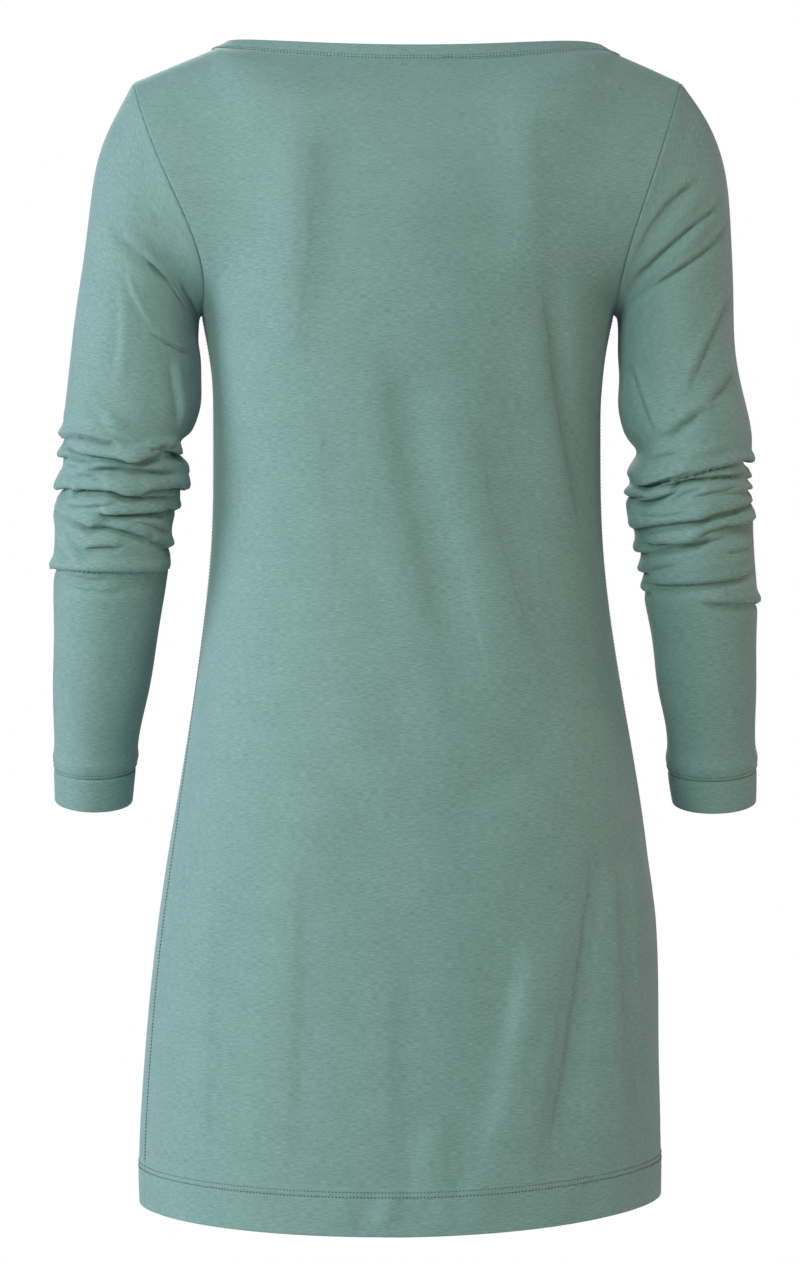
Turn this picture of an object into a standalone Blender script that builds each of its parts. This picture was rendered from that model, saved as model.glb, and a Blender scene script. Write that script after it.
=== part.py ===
"""Long-sleeved jersey dress with a boat neck, in the hollow form that it has when it is worn.

Metres, +Z up. The wearer faces +Y, so the back panel faces -Y and the wearer's left sleeve is at -X.
The origin is midway between the shoulders, level with the neck seam at the shoulders, where the wearer holds it up.
Tables are in millimetres and degrees; "drop" is the distance below the origin.
"""

import math

import bmesh
import bpy
import numpy as np

MM = 0.001

# Cloth
WALL = 1.6
HEM_WALL = 2.6
BAND_WALL = 2.4
SEAM_GAP = 0.3
CLOTH_COLOUR = (0.20, 0.35, 0.32, 1.0)
CLOTH_ROUGHNESS = 0.75

# Lengths down the dress
ARMPIT_DROP = 200.0
HEM_SEAM_DROP = 831.5
HEM_DROP = 860.5
HEM_SAG_AT_BACK = 9.0
HEM_RISE_AT_RIGHT = 6.5

# Neck: half width and the height and reach of the seam and of the free edge
NECK_HALF_WIDTH = 146.5
NECK_SHIFT = 6.5
NECK_SIDE_DROP = 3.0
NECK_BACK_REACH = 57.0
NECK_FRONT_REACH = 86.0
NECK_BACK_DROP = 16.5
NECK_FRONT_DROP = 46.0
NECK_BAND_WIDTH = 11.5
NECK_BAND_LEAN = {"back": 30.0, "front": 34.0}
NECK_BAND_LEAN_AT_SIDE = 62.0

# The side seams run towards the back on the left and towards the front on the right, lower down
SEAM_TURN_START_DROP = 430.0
LEFT_SEAM_TURN = 15.0
RIGHT_SEAM_TURN = 14.0

# Grid of the solids
COLUMNS = 24
NECK_COLUMN = 8
BODY_ROWS = 19
ARMHOLE_STEPS = 12
CUFF_ROWS = 3

# Sections of the body below the armpits
BODY_COLUMNS = ("drop", "left", "right", "back", "front", "square")
BODY_SECTIONS = (
    (200, 150.0, 157.0, 103, 119, 2.25),
    (240, 143.0, 149.0, 100, 120, 2.30),
    (296, 141.0, 146.8, 95, 114, 2.30),
    (363, 141.9, 148.0, 94, 104, 2.30),
    (441, 149.4, 156.0, 103, 102, 2.30),
    (553, 166.3, 174.6, 118, 106, 2.30),
    (664, 183.6, 187.0, 123, 113, 2.30),
    (776, 193.6, 189.0, 126, 120, 2.25),
    (831, 196.0, 191.5, 128, 123, 2.20),
    (871, 194.5, 191.5, 129, 124, 2.20),
)

# Middle of the back and of the front above the armpits: reach at each drop
CENTRE_COLUMNS = ("drop", "reach")
BACK_CENTRE = ((16, 57), (40, 77), (70, 92), (110, 103), (155, 105), (200, 103), (240, 100))
FRONT_CENTRE = ((46, 86), (70, 95), (110, 106), (155, 114), (200, 119), (240, 120))

# Armhole seams: outermost point on the shoulder, lowest point under the arm, reach and bow
ARMHOLES = {
    "left": {"tip": (200.5, 28.0), "pit": (150.0, 200.0), "bow": (14.0, 16.0)},
    "right": {"tip": (206.5, 28.0), "pit": (157.0, 200.0), "bow": (4.5, 14.0)},
}
ARMHOLE_REACH = (72.0, 64.0)
ARMHOLE_EGG = 0.12

# Rings of the sleeves, from the armhole to the free edge of the cuff
SLEEVE_COLUMNS = (
    "along", "outer", "outer_drop", "inner", "inner_drop", "centre_y", "half_depth", "lean",
)
SLEEVE_RINGS = {
    "left": (
        (0, 200.5, 28, 150.0, 200, -4, 68.0, 0),
        (20, 214.1, 54, 151.2, 203, -4, 63.0, 0),
        (40, 225.1, 81, 151.8, 207, -4, 59.5, 0),
        (65, 231.6, 117, 152.0, 213, -5, 56.5, 0),
        (95, 236.6, 158, 151.8, 222, -6, 54.0, 0),
        (125, 242.6, 199, 150.0, 234, -7, 52.0, 0),
        (155, 247.1, 240, 149.4, 253, -9, 51.0, 0),
        (180, 249.6, 266, 150.6, 272, -12, 50.0, 0),
        (205, 252.1, 292, 157.6, 294, -15, 49.0, 0),
        (235, 254.6, 322, 162.1, 323, -17, 47.5, 1),
        (265, 257.1, 352, 169.1, 352, -16, 45.5, 4),
        (295, 259.1, 381, 173.1, 381, -11, 43.5, 9),
        (325, 260.1, 411, 178.1, 411, -4, 41.0, 13),
        (355, 260.6, 441, 183.6, 441, 4, 38.5, 15),
        (392, 262.6, 479, 190.1, 479, 15, 35.5, 16),
        (430, 262.4, 517, 198.6, 517, 26, 32.5, 16),
        (452, 262.6, 539, 201.1, 539, 32, 31.0, 16),
        (479, 262.6, 563, 204.1, 565, 40, 30.0, 16),
    ),
    "right": (
        (0, 206.5, 28, 157.0, 200, -4, 68.0, 0),
        (20, 224.5, 54, 158.9, 203, -4, 63.0, 0),
        (40, 235.5, 79, 159.5, 207, -4, 59.5, 0),
        (65, 241.5, 108, 159.8, 213, -5, 56.5, 0),
        (95, 244.0, 145, 160.0, 222, -6, 54.0, 0),
        (125, 245.5, 188, 160.3, 235, -7, 52.0, 0),
        (155, 247.5, 234, 160.8, 252, -9, 51.0, 0),
        (180, 255.0, 270, 160.3, 272, -12, 50.0, 0),
        (205, 259.0, 295, 165.0, 295, -15, 49.0, 0),
        (235, 257.0, 323, 165.5, 323, -17, 47.5, 1),
        (265, 259.0, 352, 167.5, 352, -16, 45.5, 4),
        (295, 261.0, 381, 176.0, 381, -11, 43.5, 9),
        (325, 263.5, 411, 180.0, 411, -4, 41.0, 13),
        (355, 263.5, 441, 186.0, 441, 4, 38.5, 15),
        (392, 264.3, 479, 191.3, 479, 15, 35.5, 16),
        (430, 264.3, 517, 199.0, 517, 26, 32.5, 16),
        (452, 266.0, 539, 199.5, 541, 32, 31.0, 16),
        (479, 266.5, 564, 203.5, 566, 40, 30.0, 16),
    ),
}

# Soft folds of the body, each a trough (height below 0) or a ridge along a line
BODY_FOLD_COLUMNS = ("face", "x_1", "drop_1", "x_2", "drop_2", "height", "width")
BODY_FOLDS = (
    ("back", -71, 22, -70, 190, -3.2, 14),
    ("back", 82, 26, 85, 178, 2.6, 14),
    ("back", -130, 205, -131, 500, -2.4, 11),
    ("back", -6, 255, 36, 495, -3.0, 17),
    ("back", 19, 275, 64, 460, 2.0, 15),
    ("back", 70, 325, 104, 475, -2.8, 14),
    ("back", 104, 190, 136, 470, -3.4, 15),
    ("back", 15, 556, 142, 497, 3.2, 17),
    ("back", 81, 640, 81, 770, 2.6, 15),
    ("back", 130, 625, 100, 900, -4.0, 15),
    ("back", -2, 660, -2, 900, -3.2, 15),
    ("back", 163, 520, 161, 850, -3.6, 11),
    ("back", -110, 600, -92, 850, -2.4, 17),
    ("front", -62, 110, -42, 250, -3.0, 15),
    ("front", 58, 105, 40, 245, -3.0, 15),
    ("front", -104, 300, -62, 480, -3.2, 16),
    ("front", 96, 285, 58, 460, -3.0, 16),
    ("front", 10, 330, -12, 520, 2.2, 17),
    ("front", -18, 520, -48, 900, -4.0, 17),
    ("front", 72, 560, 88, 900, -4.0, 17),
    ("front", 14, 600, 22, 850, 3.0, 16),
    ("front", -132, 540, -124, 900, -3.6, 15),
    ("front", 142, 590, 134, 850, 2.8, 15),
)

# Folds of the sleeves, each a trough with a ridge above it, through three places on the sleeve
SLEEVE_FOLD_COLUMNS = (
    "side", "angle_1", "along_1", "angle_2", "along_2", "angle_3", "along_3", "depth", "width",
)
SLEEVE_FOLDS = (
    ("left", 55, 60, 89, 64, 120, 43, 2.2, 7.0),
    ("left", 130, 30, 146, 24, 166, 18, 2.2, 5.0),
    ("left", -5, 200, 50, 203, 92, 214, 3.0, 5.5),
    ("left", 15, 208, 95, 223, 190, 213, 4.6, 5.5),
    ("left", 55, 232, 105, 230, 180, 234, 3.4, 5.5),
    ("left", 40, 241, 94, 247, 165, 249, 3.4, 5.5),
    ("left", -20, 240, 20, 246, 45, 252, 2.6, 5.0),
    ("left", 65, 262, 112, 260, 182, 256, 3.0, 5.5),
    ("left", 45, 268, 93, 271, 155, 285, 3.0, 5.5),
    ("left", 22, 270, 48, 281, 75, 294, 2.0, 5.5),
    ("left", -15, 307, 75, 308, 195, 312, 2.4, 6.0),
    ("left", 185, 214, 245, 205, 325, 212, 3.6, 6.0),
    ("left", 175, 232, 250, 222, 345, 238, 4.6, 6.0),
    ("left", 180, 248, 258, 241, 335, 247, 4.4, 6.0),
    ("left", 190, 262, 262, 258, 350, 266, 4.0, 6.0),
    ("left", 165, 282, 240, 277, 320, 270, 3.2, 6.0),
    ("left", 200, 298, 268, 290, 340, 296, 2.6, 6.0),
    ("left", 196, 150, 232, 165, 268, 160, 1.8, 8.0),
    ("right", 118, 12, 95, 24, 62, 42, 1.8, 6.0),
    ("right", 134, 18, 101, 46, 40, 66, 2.4, 7.0),
    ("right", 150, 30, 99, 78, 30, 84, 2.6, 8.0),
    ("right", 120, 210, 98, 196, 76, 182, 1.6, 8.0),
    ("right", 175, 246, 105, 232, 42, 217, 4.0, 5.5),
    ("right", 118, 244, 80, 235, 5, 230, 3.0, 5.0),
    ("right", 160, 258, 112, 246, 78, 239, 3.0, 5.0),
    ("right", 192, 276, 95, 269, 5, 248, 4.4, 6.0),
    ("right", 175, 287, 87, 279, -15, 262, 3.4, 5.5),
    ("right", 178, 314, 94, 309, 8, 300, 3.0, 6.0),
    ("right", 92, 322, 53, 324, 2, 323, 2.0, 5.5),
    ("right", 190, 218, 250, 208, 320, 204, 3.6, 6.0),
    ("right", 182, 236, 252, 224, 345, 228, 4.6, 6.0),
    ("right", 200, 252, 262, 243, 340, 246, 4.4, 6.0),
    ("right", 185, 268, 256, 262, 335, 262, 3.8, 6.0),
    ("right", 195, 290, 250, 281, 330, 278, 3.2, 6.0),
    ("right", 188, 306, 262, 298, 350, 294, 2.4, 6.0),
    ("right", 200, 158, 238, 170, 275, 168, 1.8, 8.0),
)
FOLD_TAPER = 0.22
SLEEVE_MM_PER_DEGREE = 0.8

CUFF_SEAM_ALONG = 452.0
CUFF_END_ALONG = 479.0
CAP_FADE = 60.0
FOLD_ZONE = (186.0, 348.0)
FOLD_ROW_PITCH = 6.0


def spline_through(table):
    """A natural cubic spline through a table's rows, whose first column is the key; it gives the other columns."""
    rows = np.array(table, float)
    keys, values = rows[:, 0], rows[:, 1:]
    steps = np.diff(keys)
    matrix = np.eye(len(keys))
    right = np.zeros_like(values)
    for i in range(1, len(keys) - 1):
        matrix[i, i - 1 : i + 2] = steps[i - 1], 2 * (steps[i - 1] + steps[i]), steps[i]
        rise = (values[i + 1] - values[i]) / steps[i] - (values[i] - values[i - 1]) / steps[i - 1]
        right[i] = 6 * rise
    bend = np.linalg.solve(matrix, right)

    def at(key):
        key = np.clip(np.atleast_1d(np.asarray(key, float)), keys[0], keys[-1])
        i = np.clip(np.searchsorted(keys, key, side="right") - 1, 0, len(steps) - 1)
        h = steps[i][:, None]
        a = (keys[i + 1] - key)[:, None] / h
        b = 1 - a
        line = a * values[i] + b * values[i + 1]
        return line + ((a**3 - a) * bend[i] + (b**3 - b) * bend[i + 1]) * h**2 / 6

    return at


def smooth_step(x):
    x = np.clip(x, 0.0, 1.0)
    return x * x * (3 - 2 * x)


body_at = spline_through(BODY_SECTIONS)
centre_at = {"back": spline_through(BACK_CENTRE), "front": spline_through(FRONT_CENTRE)}
sleeve_at = {side: spline_through(rings) for side, rings in SLEEVE_RINGS.items()}


def body_section(angle, drop):
    """Points of the body below the armpits. The angle, in degrees, is 0 at the middle of the back and 90 at the right side."""
    left, right, back, front, square = body_at(drop).T
    s, c = np.sin(np.radians(angle)), np.cos(np.radians(angle))
    half = np.where(s > 0, right, left)
    reach = np.where(c > 0, back, front)
    x = half * np.sign(s) * np.abs(s) ** (2 / square)
    y = -reach * np.sign(c) * np.abs(c) ** (2 / square)
    sag = HEM_SAG_AT_BACK * np.clip(c, 0, 1) ** 1.6 - HEM_RISE_AT_RIGHT * np.clip(s, 0, 1) ** 1.2
    sag = sag * smooth_step((drop - ARMPIT_DROP) / (HEM_DROP - ARMPIT_DROP))
    return np.stack([x, y, -(drop + sag)], axis=-1)


def armhole_point(side, angle):
    """A point of the armhole seam. The angle is 0 at the shoulder, 90 at the back, 180 under the arm and 270 at the front."""
    hole = ARMHOLES[side]
    s, c = np.sin(np.radians(angle)), np.cos(np.radians(angle))
    tip, pit = hole["tip"], hole["pit"]
    bow = np.where(s > 0, hole["bow"][0], hole["bow"][1])
    reach = np.where(s > 0, ARMHOLE_REACH[0], ARMHOLE_REACH[1])
    x = (tip[0] + pit[0]) / 2 + (tip[0] - pit[0]) / 2 * c - bow * np.abs(s) ** 1.8 * (1 - c) ** 2 / 2
    y = -reach * s * (1 - ARMHOLE_EGG * c)
    z = -(tip[1] + pit[1]) / 2 + (pit[1] - tip[1]) / 2 * c
    return np.stack([x * (-1 if side == "left" else 1), y, z], axis=-1)


def neck_seam(turn, face):
    """A point of the neck seam. The turn is 0 at the middle of the face and 90 at the right shoulder."""
    reach, drop = (NECK_BACK_REACH, NECK_BACK_DROP) if face == "back" else (NECK_FRONT_REACH, NECK_FRONT_DROP)
    s, c = math.sin(math.radians(turn)), math.cos(math.radians(turn))
    y = -reach * c if face == "back" else reach * c
    return np.array([NECK_SHIFT + NECK_HALF_WIDTH * s, y, -NECK_SIDE_DROP - (drop - NECK_SIDE_DROP) * c * c])


def top_edge(u, face):
    """The upper edge of a panel: the neck seam, then the shoulder seam out to the armhole."""
    neck = NECK_COLUMN / (COLUMNS / 2)
    side = "left" if u < 0 else "right"
    if abs(u) <= neck:
        return neck_seam(90 * u / neck, face)
    share = (abs(u) - neck) / (1 - neck)
    start = neck_seam(math.copysign(90, u), face)
    return start + (armhole_point(side, 0.0) - start) * share


def yoke_point(u, v, face):
    """A point of a panel above the armpits. u runs from -1 to 1 across it, v from 0 at the armpits to 1 at its upper edge."""
    side = "left" if u < 0 else "right"
    turn = 180 * (1 - v)

    def arc(u, v):
        """The row as one even arc from armhole to armhole, before the neck and the shoulders shape it."""
        angle = 180 * (1 - v)
        edge = armhole_point(side, angle if face == "back" else 360 - angle)
        top = NECK_BACK_DROP if face == "back" else NECK_FRONT_DROP
        drop = ARMPIT_DROP + (top - ARMPIT_DROP) * v
        centre = -centre_at[face](drop)[0, 0] if face == "back" else centre_at[face](drop)[0, 0]
        wrap = math.radians(90 - 42 * smooth_step(v / 0.4))
        power = 2 / body_at(ARMPIT_DROP)[0, 4] + (1 - 2 / body_at(ARMPIT_DROP)[0, 4]) * smooth_step(v / 0.4)
        across = (math.sin(abs(u) * wrap) / math.sin(wrap)) ** power
        low = max(math.cos(wrap), 0.0) ** power
        deep = (max(math.cos(u * wrap), 0.0) ** power - low) / (1 - low)
        return np.array([edge[0] * across, edge[1] + (centre - edge[1]) * deep])

    flat = arc(u, v)
    upper = top_edge(u, face)
    flat = flat + (upper[:2] - arc(u, 1.0)) * v**3.5
    ease = (1 - math.cos(math.pi * v)) / 2
    outer_share = smooth_step(abs(u) / (NECK_COLUMN / (COLUMNS / 2)))
    rise = v + (ease - v) * outer_share
    return np.array([flat[0], flat[1], -ARMPIT_DROP + (upper[2] + ARMPIT_DROP) * rise])


def sleeve_point(side, angle, along):
    """Points of a sleeve. The angle is 0 on the outer side, 90 at the back, 180 at the inner side and 270 in front."""
    angle, along = np.broadcast_arrays(np.asarray(angle, float), np.asarray(along, float))
    outer, outer_drop, inner, inner_drop, centre_y, half_depth, lean = sleeve_at[side](along.ravel()).T
    sign = -1 if side == "left" else 1

    def ellipse(a, ring):
        outer, outer_drop, inner, inner_drop, centre_y, half_depth, lean = ring
        s, c = np.sin(np.radians(a)), np.cos(np.radians(a))
        x = (outer + inner) / 2 + (outer - inner) / 2 * c
        z = -(outer_drop + inner_drop) / 2 - (outer_drop - inner_drop) / 2 * c
        y = centre_y - half_depth * np.cos(np.radians(lean)) * s
        z = z - half_depth * np.sin(np.radians(lean)) * s
        return np.stack([sign * x, y, z], axis=-1)

    a = angle.ravel()
    ring = (outer, outer_drop, inner, inner_drop, centre_y, half_depth, lean)
    first = sleeve_at[side](np.zeros_like(a)).T
    reach = CAP_FADE * (0.35 + 0.65 * (1 + np.cos(np.radians(a))) / 2)
    fade = (1 - smooth_step(along.ravel() / reach))[:, None]
    points = ellipse(a, ring) + (armhole_point(side, a) - ellipse(a, first)) * fade
    return points.reshape(angle.shape + (3,))


def seam_angles(drop):
    """Where the left and the right side seam lie at a drop, as angles of body_section."""
    share = smooth_step((drop - SEAM_TURN_START_DROP) / (HEM_DROP - SEAM_TURN_START_DROP))
    return -90 + LEFT_SEAM_TURN * share, 90 + RIGHT_SEAM_TURN * share


def fold_profile(way, places, bends, taper=FOLD_TAPER):
    """How far each place lies from the line through a fold's bends, signed by side, and how strong the fold is there."""
    t = np.linspace(0, 1, 41)[:, None]
    if len(bends) == 2:
        line = bends[0] + (bends[1] - bends[0]) * t
    else:
        line = bends[0] * (1 - t) * (1 - 2 * t) + bends[1] * 4 * t * (1 - t) + bends[2] * t * (2 * t - 1)
    apart = places[..., None, :] - line
    distance = np.linalg.norm(apart, axis=-1)
    nearest = np.argmin(distance, axis=-1)
    at = t[nearest][..., 0]
    side = np.take_along_axis(apart[..., way], nearest[..., None], axis=-1)[..., 0]
    strength = smooth_step(at / taper) * smooth_step((1 - at) / taper)
    return np.sign(side) * np.min(distance, axis=-1), strength


def body_folds(points, face):
    """The height of the body's folds at points of a panel."""
    height = np.zeros(points.shape[:2])
    places = np.stack([points[..., 0], -points[..., 2]], axis=-1)
    for row in BODY_FOLDS:
        fold = dict(zip(BODY_FOLD_COLUMNS, row))
        if fold["face"] != face:
            continue
        ends = np.array([[fold["x_1"], fold["drop_1"]], [fold["x_2"], fold["drop_2"]]], float)
        distance, strength = fold_profile(0, places, ends, taper=0.3)
        height += fold["height"] * strength * np.exp(-((distance / fold["width"]) ** 2))
    across = np.linspace(-1, 1, points.shape[1])
    return height * smooth_step((1 - np.abs(across)) / 0.17)


def sleeve_folds(side, angles, along):
    """The height of a sleeve's folds, at angles across and distances along it."""
    height = np.zeros(np.broadcast_shapes(angles.shape, along.shape))
    for row in SLEEVE_FOLDS:
        fold = dict(zip(SLEEVE_FOLD_COLUMNS, row))
        if fold["side"] != side:
            continue
        bends = np.array([[fold[f"angle_{i}"] * SLEEVE_MM_PER_DEGREE, fold[f"along_{i}"]] for i in (1, 2, 3)])
        for turn in (-360, 0, 360):
            places = np.stack(np.broadcast_arrays((angles + turn) * SLEEVE_MM_PER_DEGREE, along), axis=-1)
            distance, strength = fold_profile(1, places, bends)
            trough = np.exp(-((distance / fold["width"]) ** 2))
            ridge = 0.6 * np.exp(-((distance / fold["width"] + 1.75) ** 2))
            height += fold["depth"] * strength * (ridge - trough)
    return height * smooth_step(along / 30) * smooth_step((CUFF_SEAM_ALONG - along) / 30)


def even_out(points, middle, rounds=6, reach=4):
    """Evens out the columns round one row, where the yoke meets the body, and leaves the seams as they are."""
    across = smooth_step((1 - np.abs(np.linspace(-1, 1, points.shape[1]))) / 0.3)[None, :, None]
    for _ in range(rounds):
        for row in range(middle - reach, middle + reach + 1):
            mean = (points[row - 1] + points[row + 1]) / 2
            near = 1 - abs(row - middle) / (reach + 1)
            points[row] += (mean - points[row]) * 0.5 * near * across[0]
    return points


def panel_grid(face):
    """Outer points of a panel, hem row first, each row from the left seam to the right one."""
    drops = np.concatenate(
        [[HEM_DROP, (HEM_DROP + HEM_SEAM_DROP) / 2, HEM_SEAM_DROP + 1], np.linspace(HEM_SEAM_DROP, ARMPIT_DROP, BODY_ROWS)]
    )
    rows = []
    for drop in drops:
        left, right = seam_angles(drop)
        if face == "front":
            left, right = left, right - 360
        angles = np.linspace(left, right, COLUMNS + 1)
        rows.append(body_section(angles, np.full(COLUMNS + 1, drop)))
    for step in range(1, ARMHOLE_STEPS + 1):
        v = step / ARMHOLE_STEPS
        rows.append(np.array([yoke_point(u, v, face) for u in np.linspace(-1, 1, COLUMNS + 1)]))
    points = even_out(np.array(rows), len(drops) - 1)
    return points + grid_normals(points, False) * body_folds(points, face)[..., None]


def sleeve_rows():
    """Distances along a sleeve of its rows: close together where the cloth is bunched."""
    zone = np.arange(FOLD_ZONE[0], FOLD_ZONE[1], FOLD_ROW_PITCH)
    return np.concatenate([[0, 12, 28, 46, 68, 95, 125, 155], zone, [FOLD_ZONE[1], 370, 392, 411, 430, 443, 452]])


def sleeve_grid(side, rows):
    """Outer points of a closed tube, row by row from the armhole, each row once round."""
    angles = np.arange(0, 360, 180 / ARMHOLE_STEPS)[None, :]
    along = np.asarray(rows, float)[:, None]
    points = sleeve_point(side, angles, along)
    return points + grid_normals(points, True) * sleeve_folds(side, angles, along)[..., None]


def neck_band_grid():
    """Outer points of the neck band, row by row from the neck seam up, each row once round from the middle of the back."""
    step = 90 / NECK_COLUMN
    turns = [(step * i, "back") for i in range(NECK_COLUMN)]
    turns += [(90 - step * i, "front") for i in range(2 * NECK_COLUMN)]
    turns += [(-90 + step * i, "back") for i in range(NECK_COLUMN)]
    rows = []
    for share in (0.0, 0.5, 1.0):
        row = []
        for turn, face in turns:
            reach = NECK_BACK_REACH if face == "back" else NECK_FRONT_REACH
            s, c = math.sin(math.radians(turn)), math.cos(math.radians(turn))
            inward = np.array([-reach * s, NECK_HALF_WIDTH * c * (1 if face == "back" else -1)])
            inward = inward / np.linalg.norm(inward)
            lean = math.radians(NECK_BAND_LEAN_AT_SIDE + (NECK_BAND_LEAN[face] - NECK_BAND_LEAN_AT_SIDE) * abs(c) ** 1.3)
            along = np.array([inward[0] * math.sin(lean), inward[1] * math.sin(lean), math.cos(lean)])
            row.append(neck_seam(turn, face) + along * NECK_BAND_WIDTH * share)
        rows.append(row)
    return np.array(rows)


def grid_normals(points, closed):
    """Unit normals of a grid, those of the faces round each point added up by area. They face out of the garment."""
    rows, columns = points.shape[:2]
    ends = np.concatenate([points, points[:, :1]], axis=1) if closed else points
    faces = np.cross(ends[1:, 1:] - ends[:-1, :-1], ends[1:, :-1] - ends[:-1, 1:])
    normals = np.zeros_like(points)
    for i in (0, 1):
        for j in (0, 1):
            for column in range(faces.shape[1]):
                at = (column + j) % columns
                normals[i : rows - 1 + i, at] += faces[:, column]
    middle = points.mean(axis=1, keepdims=True) if closed else points * (0, 0, 1)
    facing = np.sign(np.sum(normals * (points - middle)))
    return facing * normals / np.linalg.norm(normals, axis=-1, keepdims=True)


class Piece:
    """A piece of cloth as a grid of outer points with a wall thickness for each row."""

    def __init__(self, name, points, walls, closed):
        self.name = name
        self.points = points
        self.walls = np.broadcast_to(np.asarray(walls, float), (len(points),))
        self.closed = closed
        self.normals = grid_normals(points, closed)
        self.directions = self.normals.copy()

    def edge_places(self):
        """Row and column of each point on the rim."""
        rows, columns = self.points.shape[:2]
        for row in range(rows):
            for column in range(columns):
                if row in (0, rows - 1) or (not self.closed and column in (0, columns - 1)):
                    yield row, column


def share_wall_directions(pieces):
    """Where pieces meet and face alike, their walls run the same way, so that they don't cross."""
    meeting = {}
    for piece in pieces:
        for place in piece.edge_places():
            key = tuple(np.round(piece.points[place] / 0.02).astype(int))
            meeting.setdefault(key, []).append((piece, place))
    for found in meeting.values():
        for piece, place in found:
            own = piece.normals[place]
            total = np.zeros(3)
            for other, there in found:
                theirs = other.normals[there]
                total += theirs * smooth_step((own @ theirs + 0.2) / 0.7)
            piece.directions[place] = total / np.linalg.norm(total)


def open_seams(pieces):
    """Draws each rim back into its own cloth by half the gap of a seam."""
    for piece in pieces:
        moved = piece.points.copy()
        rows, columns = piece.points.shape[:2]
        for row, column in piece.edge_places():
            steps = []
            if row == 0:
                steps.append(piece.points[1, column])
            if row == rows - 1:
                steps.append(piece.points[rows - 2, column])
            if not piece.closed and column == 0:
                steps.append(piece.points[row, 1])
            if not piece.closed and column == columns - 1:
                steps.append(piece.points[row, columns - 2])
            for inside in steps:
                way = inside - piece.points[row, column]
                moved[row, column] += way / np.linalg.norm(way) * SEAM_GAP / 2 * 1.05
        piece.points = moved


def wall_mesh(piece):
    """A closed wall: the outer grid, the same grid moved in along the wall directions, and the strips that join them."""
    rows, columns = piece.points.shape[:2]
    inner = piece.points - piece.directions * piece.walls[:, None, None]
    mesh = bmesh.new()
    outside = [[mesh.verts.new(p * MM) for p in row] for row in piece.points]
    inside = [[mesh.verts.new(p * MM) for p in row] for row in inner]
    last = columns if piece.closed else columns - 1
    for i in range(rows - 1):
        for j in range(last):
            k = (j + 1) % columns
            mesh.faces.new((outside[i][j], outside[i][k], outside[i + 1][k], outside[i + 1][j]))
            mesh.faces.new((inside[i][j], inside[i + 1][j], inside[i + 1][k], inside[i][k]))
    for j in range(last):
        k = (j + 1) % columns
        mesh.faces.new((outside[0][k], outside[0][j], inside[0][j], inside[0][k]))
        mesh.faces.new((outside[-1][j], outside[-1][k], inside[-1][k], inside[-1][j]))
    if not piece.closed:
        for i in range(rows - 1):
            mesh.faces.new((outside[i][0], outside[i + 1][0], inside[i + 1][0], inside[i][0]))
            mesh.faces.new((outside[i + 1][-1], outside[i][-1], inside[i][-1], inside[i + 1][-1]))
    bmesh.ops.recalc_face_normals(mesh, faces=mesh.faces)
    return mesh


def cloth_material(name):
    material = bpy.data.materials.new(name)
    material.use_nodes = True
    shader = material.node_tree.nodes["Principled BSDF"]
    shader.inputs["Base Color"].default_value = CLOTH_COLOUR
    shader.inputs["Roughness"].default_value = CLOTH_ROUGHNESS
    shader.inputs["Specular IOR Level"].default_value = 0.3
    return material


def add_object(piece):
    mesh = wall_mesh(piece)
    data = bpy.data.meshes.new(piece.name)
    mesh.to_mesh(data)
    mesh.free()
    data.shade_smooth()
    obj = bpy.data.objects.new(piece.name, data)
    obj.data.materials.append(cloth_material(piece.name + "_cloth"))
    bpy.context.scene.collection.objects.link(obj)
    return obj


def back_panel():
    points = panel_grid("back")
    walls = [HEM_WALL] * 3 + [WALL] * (len(points) - 3)
    return Piece("back_panel", points, walls, closed=False)


def front_panel():
    points = panel_grid("front")
    walls = [HEM_WALL] * 3 + [WALL] * (len(points) - 3)
    return Piece("front_panel", points, walls, closed=False)


def sleeve(side):
    return Piece("sleeve_" + side, sleeve_grid(side, sleeve_rows()), WALL, closed=True)


def cuff(side):
    rows = np.linspace(CUFF_SEAM_ALONG, CUFF_END_ALONG, CUFF_ROWS)
    return Piece("cuff_" + side, sleeve_grid(side, rows), BAND_WALL, closed=True)


def neck_band():
    return Piece("neck_band", neck_band_grid(), BAND_WALL, closed=True)


def main():
    for obj in list(bpy.data.objects):
        bpy.data.objects.remove(obj)
    pieces = [back_panel(), front_panel(), sleeve("left"), sleeve("right")]
    pieces += [cuff("left"), cuff("right"), neck_band()]
    share_wall_directions(pieces)
    open_seams(pieces)
    for piece in pieces:
        add_object(piece)


main()
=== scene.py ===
# %% [markdown]
# A long-sleeved jersey dress, seen from behind, in the hollow form that it has when it is worn.
# The packed model is loaded first as a fixed frame. It gives the true size, and every piece of cloth here
# lies on its own solid or close to it. Without the frame the cloth could drift from the size of the part.

import bmesh
import bpy
import numpy as np
from mathutils import Matrix, Vector


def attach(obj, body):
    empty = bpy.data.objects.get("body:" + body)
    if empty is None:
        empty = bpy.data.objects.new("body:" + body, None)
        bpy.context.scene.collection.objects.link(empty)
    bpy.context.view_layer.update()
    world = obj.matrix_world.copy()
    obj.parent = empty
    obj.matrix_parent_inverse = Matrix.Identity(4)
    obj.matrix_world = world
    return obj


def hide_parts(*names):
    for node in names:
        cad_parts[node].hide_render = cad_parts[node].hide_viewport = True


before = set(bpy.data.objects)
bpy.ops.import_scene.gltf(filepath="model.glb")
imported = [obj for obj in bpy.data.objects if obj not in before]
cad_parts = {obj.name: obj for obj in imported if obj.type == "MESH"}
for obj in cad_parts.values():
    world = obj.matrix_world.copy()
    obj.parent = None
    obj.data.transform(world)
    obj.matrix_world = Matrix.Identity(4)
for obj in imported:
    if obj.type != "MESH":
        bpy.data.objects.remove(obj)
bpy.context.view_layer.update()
MM = 0.001
print("solids:", ", ".join(sorted(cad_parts)))

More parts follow.
